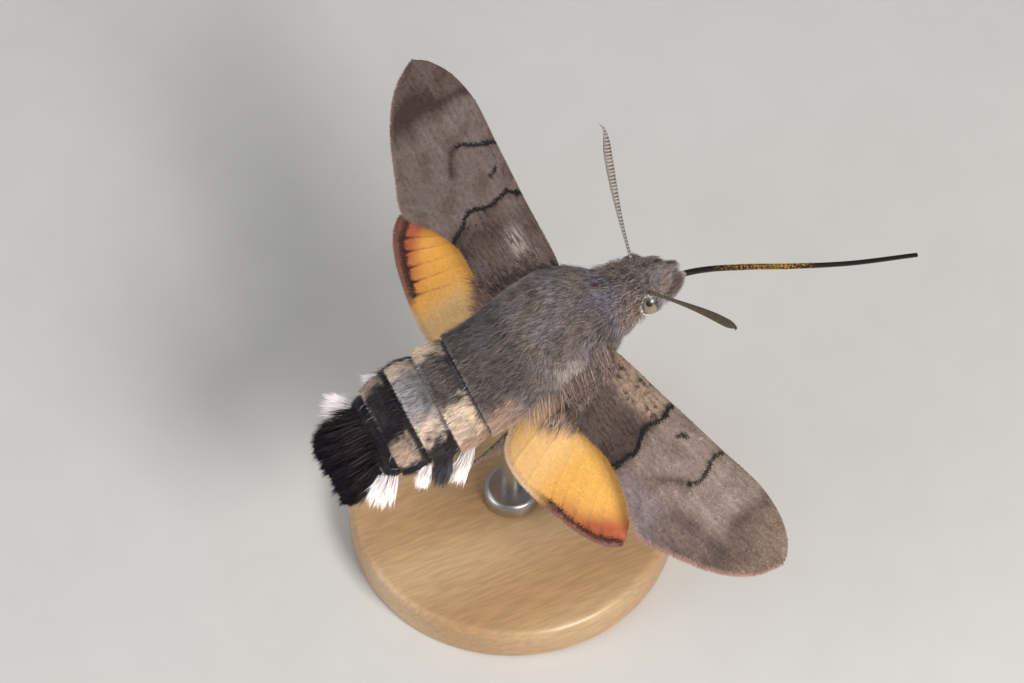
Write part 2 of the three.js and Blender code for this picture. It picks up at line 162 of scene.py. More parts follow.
VEINS = {
    "forewing": [
        [[0.5, -0.5], [9, -1.3], [16, -1.6], [19.5, -1.0]],
        [[0.5, 0.2], [9.5, -0.3], [12, -0.7], [18, -0.9], [21.2, -0.1]],
        [[10.2, -0.5], [15, 0.1], [21, 1.4]],
        [[9.6, 0.6], [14, 1.8], [19.9, 3.2]],
        [[9.2, 0.9], [13, 2.9], [18, 4.5]],
        [[0.5, 0.8], [8.8, 0.9], [12, 3.6], [15.8, 5.6]],
        [[6.6, 0.9], [10, 3.8], [13, 6.4]],
        [[0.8, 1.6], [6, 2.9], [9, 4.3], [11.5, 6]],
    ],
    "hindwing": [
        [[1, 3.2], [4.6, 4.4], [6.35, 9.3]], [[4.2, 3.6], [5.8, 4.6], [7.35, 9.2]],
        [[5.6, 3.9], [6.9, 4.8], [8.5, 9]], [[6.6, 4.2], [7.9, 5], [9.7, 8.6]],
        [[7.8, 4.6], [8.9, 5.4], [10.7, 8.2]], [[1, 3.8], [3.2, 5], [4.2, 9.8]],
        [[0.8, 4.2], [2, 5.4], [2.4, 9.6]],
    ],
}
BLADE_GRID = {"forewing": (150, 44), "hindwing": (90, 48)}
# How far the blade ends inside the wing's outline, and the length of the fringe round it
BLADE_INSET = {"forewing": 0.12, "hindwing": 0.2}
FRINGE = {"forewing": 0.34, "hindwing": 0.42}
# How strongly the scales turn out over the rear edge
SCALE_TURN = {"forewing": 0.9, "hindwing": 2.2}

# Lines and bands on the wings, drawn in the wing's plane
ANTEMEDIAL = {
    "left": [[7.75, -2], [7.8, -1.7], [8.1, -1.4], [8.5, -1], [8.4, -0.4], [8.3, 0.3],
             [8.4, 1], [8.8, 1.6], [9, 2.2], [8.8, 2.6], [8.3, 3.1], [8.1, 3.8], [7.9, 4.4]],
    "right": [[8, -1.9], [7.95, -1.4], [8.15, -0.8], [8.1, -0.4], [7.75, 0.2], [7.7, 0.9],
              [7.95, 1.5], [8.3, 2.2], [8.35, 2.6], [8.1, 3.1], [8, 3.8], [7.8, 4.4]],
}
POSTMEDIAL = {
    "left": [[12.4, -2.05], [12.7, -1.4], [13, -0.8], [13.4, -0.2], [13.85, 0.3], [14, 0.8]],
    "right": [[12.8, -1.8], [12.6, -1.3], [12.7, -0.7], [12.9, -0.3], [13, 0.3], [12.95, 0.9],
              [12.6, 1.4]],
}
POSTMEDIAL_END = {
    "left": [[14, 0.8], [13.9, 1.2], [13.3, 1.7], [12.3, 2.1]],
    "right": [[12.6, 1.4], [12, 1.7], [11.3, 2.2], [11, 2.6]],
}
WING_SPOT = {
    "left": [[10.65, -1.1], [10.4, -0.95], [10.3, -0.5]],
    "right": [[9.75, -0.5], [9.9, -0.8], [10.25, -0.95]],
}
OUTER_SHADE = {
    "left": [[17.3, -1.9], [17.5, -0.5], [17.9, 1], [18.5, 3]],
    "right": [[17.5, -1.4], [17, -0.3], [17.1, 0.8], [17, 1.5]],
}
# Dark flecks on the front of the right forewing's base
BASE_FLECKS = [[3.5, -0.7], [5.4, -1.4], [7.3, -0.4], [5.2, 0.4]]
HIND_BORDER = {
    "left": [[11.6, 6.9], [10.5, 8.2], [8.5, 8.9], [6.5, 9.3]],
    "right": [[12.1, 7.6], [10.6, 8.7], [8.6, 9.3], [6.6, 9.45], [4.8, 9.85]],
}

# Legs, from the hip by knee and heel to the claws. The foot's places are shares of the length.
FOOT = {"spurs": 0.645, "start": 0.68, "joint": 0.064}
CLAW = {"length": 0.3, "radius": 0.035}
SPUR = {"length": 0.7, "radius": 0.05}
LEGS = {
    "foreleg": [[5.2, 0.7, -1.6], [6.9, 0.75, -2.5], [4.6, 0.65, -3.4], [1.2, 0.6, -4.1]],
    "midleg": [[2.6, 1.6, -2.3], [4, 2.3, -3.2], [0.2, 1.9, -4.1], [-4.2, 1.7, -4.5]],
    "hindleg": [[-0.2, 2, -2.6], [-2.7, 2.9, -3.15], [-7, 3.8, -3.85], [-10, 3.2, -4.1]],
}

# Stand, in the model's own frame
BASE = {"radius": 12, "thickness": 3, "bevel": 0.7, "foot": 0.3, "socket": 1.4}
ROD = {"radius": 0.8, "top": 20.4, "gap": 0.3}
FERRULE = {"radius": 2.1, "height": 1.2, "slope": 0.5, "gap": 0.3}


# Places and directions


def place(ahead, side, up):
    """Places in the moth's own frame, as an array with three columns."""
    spread = np.broadcast_arrays(side, -np.asarray(ahead, float), up)
    return np.stack(spread, -1).astype(float)


def places(rows, side=1):
    """A path given as rows of ahead, out and up, on the chosen side."""
    rows = np.asarray(rows, float)
    return place(rows[:, 0], side * rows[:, 1], rows[:, 2])


def hung(points):
    """The moth's own millimetres as metres in the model's frame."""
    return (np.asarray(points) @ TURN.T + HANG) * MM


def unit(vectors):
    """Vectors made one long."""
    return vectors / np.maximum(np.linalg.norm(vectors, axis=-1, keepdims=True), 1e-9)


def dot(a, b):
    """Dot products that keep their last axis."""
    return (a * b).sum(-1, keepdims=True)


def smoothstep(low, high, x):
    """0 below low, 1 above high and a smooth rise between them."""
    t = np.clip((np.asarray(x, float) - low) / (high - low), 0, 1)
    return t * t * (3 - 2 * t)


def band(x, low, high, soft):
    """1 between low and high, 0 outside, over soft edges."""
    return smoothstep(low - soft, low + soft, x) * (1 - smoothstep(high - soft, high + soft, x))


def near(x, high, soft):
    """1 below high, 0 above it, over a soft edge."""
    return 1 - smoothstep(high - soft, high + soft, x)


def dice(name):
    """The same random draws each run, its own for each name."""
    return np.random.default_rng([ord(letter) for letter in name])


def ripple(points, size, name):
    """Smooth noise from about -1 to 1 whose lumps are as wide as size."""
    rng = dice(name)
    total = np.zeros(points.shape[:-1])
    waves = 9
    for _ in range(waves):
        wave = unit(rng.normal(size=points.shape[-1])) * rng.uniform(0.6, 1.5) * np.pi / size
        total += np.sin(points @ wave + rng.uniform(0, 2 * np.pi))
    return total * 1.2 / np.sqrt(waves)


def smooth_curve(points, steps):
    """Evenly spaced places on a centripetal curve through the points."""
    points = np.asarray(points, float)
    chain = [2 * points[0] - points[1], *points, 2 * points[-1] - points[-2]]
    t = np.linspace(0, 1, 40, endpoint=False)[:, None]
    spans = []
    for before, start, end, after in zip(chain, chain[1:], chain[2:], chain[3:]):
        d0, d1, d2 = (np.linalg.norm(b - a) ** 0.5
                      for a, b in ((before, start), (start, end), (end, after)))
        leave = ((start - before) / d0 - (end - before) / (d0 + d1)) * d1 + end - start
        arrive = ((after - end) / d2 - (after - start) / (d1 + d2)) * d1 + end - start
        spans.append(start * (2 * t ** 3 - 3 * t ** 2 + 1) + end * (3 * t ** 2 - 2 * t ** 3)
                     + leave * (t ** 3 - 2 * t ** 2 + t) + arrive * (t ** 3 - t ** 2))
    fine = np.concatenate([*spans, points[-1:]])
    length = np.concatenate([[0], np.cumsum(np.linalg.norm(np.diff(fine, axis=0), axis=1))])
    at = np.linspace(0, length[-1], steps + 1)
    return np.stack([np.interp(at, length, column) for column in fine.T], -1)


def along_curve(points, share):
    """Places at each share, from 0 to 1, of the length of the curve through the points."""
    fine = smooth_curve(points, 400)
    at = np.linspace(0, 1, len(fine))
    return np.stack([np.interp(share, at, column) for column in fine.T], -1)


def off_path(points, path):
    """The distance from each point to the line through the path's points."""
    path = np.asarray(path, float)
    nearest = np.full(points.shape[:-1], np.inf)
    for start, end in zip(path, path[1:]):
        run = end - start
        t = np.clip((points - start) @ run / (run @ run), 0, 1)[..., None]
        nearest = np.minimum(nearest, np.linalg.norm(points - start - t * run, axis=-1))
    return nearest


def rod_frame(path, t, up=(0, 0, 1)):
    """Centre, way, across and over at each share t of a rod's length."""
    step = 0.004
    centre = along_curve(path, t)
    ahead, behind = np.minimum(t + step, 1), np.maximum(t - step, 0)
    way = unit(along_curve(path, ahead) - along_curve(path, behind))
    across = unit(np.cross(way, up))
    return centre, way, across, np.cross(across, way)


def rod(path, radius, steps, sides, up=(0, 0, 1)):
    """Rings of a rod along a path. radius(t, angle) gives its half width and height."""
    t = np.linspace(0, 1, steps + 1)
    centre, _, across, over = rod_frame(path, t, up)
    angle = np.arange(sides) * 2 * np.pi / sides
    wide, high = radius(t[:, None], angle)
    shape = (steps + 1, sides)
    wide = np.broadcast_to(wide * np.cos(angle), shape)[..., None]
    high = np.broadcast_to(high * np.sin(angle), shape)[..., None]
    return centre[:, None] + across[:, None] * wide + over[:, None] * high


# Meshes


def facing_out(points, faces):
    """The faces of a closed skin, turned to face out."""
    a, b, c = (points[faces[:, k]] for k in range(3))
    volume = dot(a, np.cross(b, c)).sum()
    return faces if volume > 0 else faces[:, ::-1]


def closed_skin(rings):
    """Points and triangles of the closed skin through rings that have equally many points."""
    count, sides = rings.shape[:2]
    ends = [rings[0].mean(0), rings[-1].mean(0)]
    points = np.concatenate([rings.reshape(-1, 3), ends])
    j = np.arange(sides)
    a = np.arange(count - 1)[:, None] * sides + j
    b = np.arange(count - 1)[:, None] * sides + (j + 1) % sides
    last = (count - 1) * sides
    faces = np.concatenate([
        np.stack([a, b, b + sides], -1).reshape(-1, 3),
        np.stack([a, b + sides, a + sides], -1).reshape(-1, 3),
        np.stack([(j + 1) % sides, j, np.full(sides, count * sides)], -1),
        np.stack([last + j, last + (j + 1) % sides, np.full(sides, count * sides + 1)], -1),
    ])
    return points, facing_out(points, faces)


def joined(parts):
    """Several points and faces as one."""
    sizes = np.cumsum([0] + [len(points) for points, _ in parts])
    return (np.concatenate([points for points, _ in parts]),
            np.concatenate([faces + start for (_, faces), start in zip(parts, sizes)]))


def mesh_of(name, points, faces):
    """A mesh of points and triangles."""
    mesh = bpy.data.meshes.new(name)
    mesh.vertices.add(len(points))
    mesh.vertices.foreach_set("co", np.asarray(points, np.float32).ravel())
    mesh.loops.add(faces.size)
    mesh.loops.foreach_set("vertex_index", faces.astype(np.int32).ravel())
    mesh.polygons.add(len(faces))
    mesh.polygons.foreach_set("loop_start", np.arange(0, faces.size, 3, dtype=np.int32))
    mesh.update()
    mesh.validate()
    return mesh


def shown(name, mesh):
    """A mesh put into the scene as an object."""
    made = bpy.data.objects.new(name, mesh)
    bpy.context.scene.collection.objects.link(made)
    return made


def united(shells):
    """One closed skin round several closed ones that overlap."""
    made = [shown("shell", mesh_of("shell", *shell)) for shell in shells]
    for other in made[1:]:
        union = made[0].modifiers.new("union", "BOOLEAN")
        union.operation = "UNION"
        union.solver = "EXACT"
        union.object = other
    whole = made[0].evaluated_get(bpy.context.evaluated_depsgraph_get()).to_mesh()
    whole.calc_loop_triangles()
    points = np.empty(len(whole.vertices) * 3, np.float32)
    faces = np.empty(len(whole.loop_triangles) * 3, np.int32)
    whole.vertices.foreach_get("co", points)
    whole.loop_triangles.foreach_get("vertices", faces)
    for shell in made:
        bpy.data.objects.remove(shell)
    return points.reshape(-1, 3).astype(float), faces.reshape(-1, 3)


def piece(name, points, faces, material, replaces=(), smooth=True, numbers=None):
    """A piece of the model from points in metres. numbers holds one value a point by name."""
    mesh = mesh_of(name, points, faces)
    mesh.polygons.foreach_set("use_smooth", np.full(len(mesh.polygons), smooth))
    for key, values in (numbers or {}).items():
        layer = mesh.attributes.new(key, "FLOAT", "POINT")
        layer.data.foreach_set("value", np.asarray(values, np.float32))
    mesh.materials.append(material)
    made = shown(name, mesh)
    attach(made, "root")
    if replaces:
        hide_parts(*replaces)
    return made


# Materials


def linear(hex_colour):
    """An sRGB hex value as linear colour."""
    channels = [int(hex_colour[i:i + 2], 16) / 255 for i in (0, 2, 4)]
    return (*[c / 12.92 if c <= 0.04045 else ((c + 0.055) / 1.055) ** 2.4 for c in channels], 1)


def per_mm(size):
    """The scale of a pattern in metres whose feature is size millimetres across."""
    return 1 / (size * MM)


def add(tree, kind, inputs=None, **settings):
    """Adds a shader node with its settings, values and links."""
    made = tree.nodes.new("ShaderNode" + kind)
    for key, value in settings.items():
        setattr(made, key, value)
    for key, value in (inputs or {}).items():
        if isinstance(value, bpy.types.NodeSocket):
            tree.links.new(value, made.inputs[key])
        else:
            made.inputs[key].default_value = value
    return made


def blank(name):
    """A new material with an empty node tree."""
    made = bpy.data.materials.new(name)
    made.use_nodes = True
    made.node_tree.nodes.clear()
    return made, made.node_tree


def scale_dust(name, ground, marks, root_dark, spread, gleam, grain=0):
    """Scales and scale-hair of chitin, grown and laid flat: matt, with a silky gleam along
    each one. They are darker where they leave the skin and each has its own shade."""
    made, tree = blank(name)
    colour = linear(ground)
    for mark, hex_colour in marks.items():
        amount = add(tree, "Attribute", attribute_name=mark).outputs["Fac"]
        colour = add(tree, "Mix", {0: amount, 6: colour, 7: linear(hex_colour)},
                     data_type="RGBA").outputs[2]
    shade = add(tree, "Attribute", attribute_name="shade").outputs["Fac"]
    tip = add(tree, "Attribute", attribute_name="tip").outputs["Fac"]
    lit = add(tree, "MapRange", {"Value": shade, "From Min": -1.0, "From Max": 1.0,
                                 "To Min": spread[0], "To Max": spread[1]}).outputs[0]
    rising = add(tree, "MapRange", {"Value": tip, "To Min": root_dark, "To Max": 1.15}).outputs[0]
    both = add(tree, "Math", {0: lit, 1: rising}, operation="MULTIPLY").outputs[0]
    colour = add(tree, "VectorMath", {0: colour, "Scale": both}, operation="SCALE").outputs[0]
    surface = add(tree, "BsdfPrincipled", {
        "Base Color": colour, "Roughness": 0.55, "IOR": 1.56, "Specular IOR Level": gleam,
        "Sheen Weight": gleam / 4, "Sheen Roughness": 0.4})
    if grain:
        dust = add(tree, "TexNoise", {"Scale": per_mm(grain), "Detail": 3.0})
        bump = add(tree, "Bump", {"Height": dust.outputs["Fac"], "Strength": 0.3,
                                  "Distance": 0.03 * MM})
        tree.links.new(bump.outputs[0], surface.inputs["Normal"])
    add(tree, "OutputMaterial", {"Surface": surface.outputs[0]})
    return made


# Colours of the scales on body and wings by mark. Later ones lie over earlier ones.
# Some marks also carry painted light: blue and black paint shadow at the front of rings 2 and 3,
# tan and white a highlight over the wing roots, and the forewing's dark a shade over the left wing.
COAT_MARKS = {
    "olive": "8c8166",
    "blue": "787682",
    "tan": "c9a68f",
    "cream": "f2dcc4",
    "gold": "dfc08a",
    "black": "17121a",
    "rust": "57201a",
    "white": "fbf6f6",
}
FOREWING_MARKS = {
    "pale": "a8948a",
    "tan": "b59a85",
    "blue": "8a8188",
    "under": "a26a3c",
    "dark": "45342e",
    "black": "140d0c",
    "pink": "c2968a",
    "white": "ecd9d2",
}
HINDWING_MARKS = {
    "pale": "ffdba0",
    "gold": "eea53e",
    "red": "bd6440",
    "black": "43201a",
    "pink": "8f675c",
    "white": "f0dcc6",
    "hair": "9a7563",
}

coat_hair = scale_dust("chitin_scale_hair", "7f726e", COAT_MARKS, 0.45, (0.1, 2.5), 0.35)
black_hair = scale_dust("black_scale_hair", "4a3d3c", COAT_MARKS, 0.7, (0.3, 3.4), 0.12)
body_cuticle = scale_dust("scaled_cuticle", "5c524e", COAT_MARKS, 0.7, (0.5, 1.3), 0.2, 0.08)
forewing_dust = scale_dust("forewing_scales", "7f6c62", FOREWING_MARKS, 0.85, (0.65, 1.4),
                           0.25, 0.1)
hindwing_dust = scale_dust("hindwing_scales", "f2bb60", HINDWING_MARKS, 0.95, (0.9, 1.1),
                           0.25)


def compound_eye():
    """The eye's cornea: clear moulded chitin over brown pigment, so it looks wet, with a painted
    false pupil and painted shade towards the edge of the bare cornea. Its facets are 0.03 mm across
    and are drawn twice as wide to show."""
    made, tree = blank("eye_cornea")
    pupil = add(tree, "Attribute", attribute_name="pupil").outputs["Fac"]
    rim = add(tree, "Attribute", attribute_name="rim").outputs["Fac"]
    facets = add(tree, "TexVoronoi", {"Scale": per_mm(0.06)}, feature="DISTANCE_TO_EDGE")
    cloud = add(tree, "TexNoise", {"Scale": per_mm(0.3), "Detail": 2.0})
    colour = add(tree, "Mix", {0: cloud.outputs["Fac"], 6: linear("5d4e3c"),
                               7: linear("b3a58f")}, data_type="RGBA").outputs[2]
    # rim darkens the cornea towards the edge of its bare oval, where the hair closes over it:
    # painted shade.
    colour = add(tree, "Mix", {0: rim, 6: colour, 7: linear("3a2c24")},
                 data_type="RGBA").outputs[2]
    # pupil is the painted false pupil: the dark spot a live eye shows towards whoever looks
    # straight down its facets.
    colour = add(tree, "Mix", {0: pupil, 6: colour, 7: linear("15130f")},
                 data_type="RGBA").outputs[2]
    bump = add(tree, "Bump", {"Height": facets.outputs["Distance"], "Strength": 0.25,
                              "Distance": 0.01 * MM}).outputs[0]
    surface = add(tree, "BsdfPrincipled", {
        "Base Color": colour, "Roughness": 0.35, "IOR": 1.5, "Normal": bump,
        "Coat Weight": 0.8, "Coat Roughness": 0.08})
    add(tree, "OutputMaterial", {"Surface": surface.outputs[0]})
    return made


def feeler_cuticle():
    """Chitin joints dusted with scales above and bare below: grey over olive brown, with a
    faint polish."""
    made, tree = blank("feeler_cuticle")
    dusted = add(tree, "Attribute", attribute_name="dusted").outputs["Fac"]
    groove = add(tree, "Attribute", attribute_name="groove").outputs["Fac"]
    speck = add(tree, "TexNoise", {"Scale": per_mm(0.25), "Detail": 4.0}).outputs["Fac"]
    colour = add(tree, "Mix", {0: dusted, 6: linear("66553b"), 7: linear("a39b96")},
                 data_type="RGBA").outputs[2]
    colour = add(tree, "Mix", {0: groove, 6: colour, 7: linear("1d1712")},
                 data_type="RGBA").outputs[2]
    shade = add(tree, "MapRange", {"Value": speck, "From Min": 0.35, "From Max": 0.65,
                                   "To Min": 0.35, "To Max": 1.9}).outputs[0]
    colour = add(tree, "VectorMath", {0: colour, "Scale": shade}, operation="SCALE").outputs[0]
    bump = add(tree, "Bump", {"Height": speck, "Strength": 0.5,
                              "Distance": 0.02 * MM}).outputs[0]
    surface = add(tree, "BsdfPrincipled", {
        "Base Color": colour, "Roughness": 0.5, "IOR": 1.56, "Normal": bump})
    add(tree, "OutputMaterial", {"Surface": surface.outputs[0]})
    return made


def tongue_cuticle():
    """Hard bare chitin, ringed and flexible: near black brown and glossy. Its ribs are 0.02 mm
    apart and are drawn five times as wide."""
    made, tree = blank("tongue_chitin")
    along = add(tree, "Attribute", attribute_name="along").outputs["Fac"]
    ribs = add(tree, "Math", {0: along, 1: 2 * np.pi / 0.1}, operation="MULTIPLY").outputs[0]
    ribs = add(tree, "Math", {0: ribs}, operation="SINE").outputs[0]
    stain = add(tree, "TexNoise", {"Scale": per_mm(0.5), "Detail": 3.0}).outputs["Fac"]
    colour = add(tree, "Mix", {0: stain, 6: linear("0a0507"), 7: linear("241312")},
                 data_type="RGBA").outputs[2]
    bump = add(tree, "Bump", {"Height": ribs, "Strength": 0.35,
                              "Distance": 0.01 * MM}).outputs[0]
    surface = add(tree, "BsdfPrincipled", {
        "Base Color": colour, "Roughness": 0.34, "IOR": 1.5, "Normal": bump,
        "Specular IOR Level": 0.35})
    add(tree, "OutputMaterial", {"Surface": surface.outputs[0]})
    return made


def mottled(name, tones, grain, detail, relief=None, **finish):
    """A grainy surface whose colour clouds between two tones. grain is the size of its
    patches in mm and relief how strong and how many mm deep its bumps are. finish holds the
    shader's own values."""
    made, tree = blank(name)
    cloud = add(tree, "TexNoise", {"Scale": per_mm(grain), "Detail": detail}).outputs["Fac"]
    colour = add(tree, "Mix", {0: cloud, 6: linear(tones[0]), 7: linear(tones[1])},
                 data_type="RGBA").outputs[2]
    values = {key.replace("_", " "): value for key, value in finish.items()}
    surface = add(tree, "BsdfPrincipled", {"Base Color": colour, **values})
    if relief:
        strength, depth = relief
        bump = add(tree, "Bump", {"Height": cloud, "Strength": strength,
                                  "Distance": depth * MM})
        tree.links.new(bump.outputs[0], surface.inputs["Normal"])
    add(tree, "OutputMaterial", {"Surface": surface.outputs[0]})
    return made


def turned_maple():
    """Maple, turned on a lathe and lacquered satin: pale, with faint growth rings, short
    pores and a thin clear film. The rings are 3 mm apart and are drawn three times as wide.
    A wave texture of scale 1 has its bands a twentieth of 2 pi apart."""
    made, tree = blank("turned_maple")
    spot = add(tree, "TexCoord").outputs["Object"]
    stretched = add(tree, "Mapping", {"Vector": spot, "Scale": (1, 0.12, 1)}).outputs[0]
    rings = add(tree, "TexWave", {"Vector": stretched, "Scale": per_mm(9.42) * 2 * np.pi / 20,
                                  "Distortion": 5.0, "Detail": 3.0, "Detail Scale": 1.5})
    pores = add(tree, "TexNoise", {"Vector": stretched, "Scale": per_mm(0.25),
                                   "Detail": 5.0}).outputs["Fac"]
    wood = add(tree, "Mix", {0: rings.outputs["Fac"], 6: linear("b9946a"),
                             7: linear("cdac82")}, data_type="RGBA").outputs[2]
    shade = add(tree, "MapRange", {"Value": pores, "From Min": 0.35, "From Max": 0.65,
                                   "To Min": 0.86, "To Max": 1.08}).outputs[0]
    wood = add(tree, "VectorMath", {0: wood, "Scale": shade}, operation="SCALE").outputs[0]
    bump = add(tree, "Bump", {"Height": pores, "Strength": 0.2,
                              "Distance": 0.03 * MM}).outputs[0]
    surface = add(tree, "BsdfPrincipled", {
        "Base Color": wood, "Roughness": 0.42, "IOR": 1.5, "Normal": bump,
        "Coat Weight": 0.35, "Coat Roughness": 0.25})
    add(tree, "OutputMaterial", {"Surface": surface.outputs[0]})
    return made


def brushed_steel():
    """Stainless steel, brushed round its axis: grey, with fine rings that draw the highlight
    out. The brush marks are 0.02 mm apart and are drawn four times as wide."""
    made, tree = blank("brushed_steel")
    spot = add(tree, "TexCoord").outputs["Object"]
    squeezed = add(tree, "Mapping", {"Vector": spot, "Scale": (0.05, 0.05, 1)}).outputs[0]
    marks = add(tree, "TexNoise", {"Vector": squeezed, "Scale": per_mm(0.08),
                                   "Detail": 3.0}).outputs["Fac"]
    colour = add(tree, "Mix", {0: marks, 6: linear("a8a9ab"), 7: linear("c6c6c5")},
                 data_type="RGBA").outputs[2]
    rough = add(tree, "MapRange", {"Value": marks, "To Min": 0.22, "To Max": 0.42}).outputs[0]
    bump = add(tree, "Bump", {"Height": marks, "Strength": 0.15,
                              "Distance": 0.01 * MM}).outputs[0]
    surface = add(tree, "BsdfPrincipled", {
        "Base Color": colour, "Metallic": 1.0, "Roughness": rough, "Normal": bump})
    add(tree, "OutputMaterial", {"Surface": surface.outputs[0]})
    return made


eye_cornea = compound_eye()
feeler_chitin = feeler_cuticle()
tongue_chitin = tongue_cuticle()
maple = turned_maple()
steel = brushed_steel()
# Grains of pollen, waxy and rough: soft yellow with an orange cast
pollen = mottled("pollen", ("c98a2c", "f0c75a"), 0.1, 2.0, Roughness=0.6, IOR=1.45,
                 Subsurface_Weight=0.2, Subsurface_Scale=0.03 * MM)
# Bare chitin of the legs: tanned brown with a dull polish and a fine grain
leg_chitin = mottled("leg_chitin", ("3b2c24", "6e5848"), 0.15, 4.0, (0.4, 0.02),
                     Roughness=0.45, IOR=1.56)
# The floor: board with matt white paint rolled on, pale and faintly mottled
painted_board = mottled("painted_board", ("d3d2cf", "dad9d6"), 3, 3.0, Roughness=0.8)


# Skin of head, thorax, abdomen and fan


def outline(ahead):
    """Half width, top, under and middle of the body at each place along it."""
    rows = BODY_OUTLINE[::-1]
    x = rows[:, 0]
    at = np.clip(ahead, x[0], x[-1])
    k = np.clip(np.searchsorted(x, at) - 1, 0, len(x) - 2)
    step = x[k + 1] - x[k]
    t = ((at - x[k]) / step)[..., None]
    y = rows[:, 1:]
    slope = np.gradient(y, x, axis=0)
    step = step[..., None]
    found = (y[k] * (2 * t ** 3 - 3 * t ** 2 + 1) + y[k + 1] * (3 * t ** 2 - 2 * t ** 3)
             + slope[k] * step * (t ** 3 - 2 * t ** 2 + t)
             + slope[k + 1] * step * (t ** 3 - t ** 2))
    return np.moveaxis(found, -1, 0)


def swing_at(ahead):
    """How far to the left the body's middle line is."""
    return -SWING * smoothstep(0, SWING_START - FAN_TIP, SWING_START - ahead)


def ring_place(ahead):
    """How far back in its ring of the abdomen a place is, from 0 to 1, or 1 off the rings."""
    found = np.ones_like(ahead)
    for front, rear in zip(RING_ENDS, RING_ENDS[1:]):
        inside = (ahead <= front) & (ahead > rear)
        found = np.where(inside, (front - ahead) / (front - rear), found)
    return found


def room_in_ring(ahead):
    """How far a place is from the rear edge of its ring, or a lot if it is off the rings."""
    rear = np.full(np.shape(ahead), -99.0)
    for end in RING_ENDS[:0:-1]:
        rear = np.where(ahead > end, end, rear)
    return ahead - rear


def on_body(ahead, angle, stepped=True, rise=0.0):
    """Places on the skin. angle is round from the ridge of the back towards the left side."""
    ahead, angle = np.broadcast_arrays(np.asarray(ahead, float), angle)
    half, top, under, middle = outline(ahead)
    sink = np.interp(-ahead, -COAT_DEPTH[:, 0], COAT_DEPTH[:, 1])
    if stepped:
        front = (ahead < RING_ENDS[1]) * (1 - smoothstep(0.02, 0.5, ring_place(ahead)))
        sink = sink + RING_STEP * front
    sink = np.minimum(sink, 0.55 * np.minimum(top, under)) - rise
    height = np.where(np.cos(angle) > 0, top, under) - sink
    side = swing_at(ahead) + (half - sink) * np.sin(angle)
    return place(ahead, side, middle + height * np.cos(angle))


def angle_of(points):
    """How far along the body points are, and how far round it from the ridge of the back."""
    ahead = -points[..., 1]
    half, top, under, middle = outline(ahead)
    up = points[..., 2] - middle
    height = np.where(up > 0, top, under)
    return ahead, np.arctan2((points[..., 0] - swing_at(ahead)) / half, up / height)


def lie(ahead, angle):
    """Directions at a place on the skin: back along the body, round towards the left, out."""
    back = unit(on_body(ahead - 0.05, angle, False) - on_body(ahead + 0.05, angle, False))
    round_ = unit(on_body(ahead, angle + 0.02, False) - on_body(ahead, angle - 0.02, False))
    out = unit(np.cross(back, round_))
    away = on_body(ahead, angle, False) - place(ahead, swing_at(ahead), outline(ahead)[3])
    return back, round_, out * np.sign(dot(out, away))


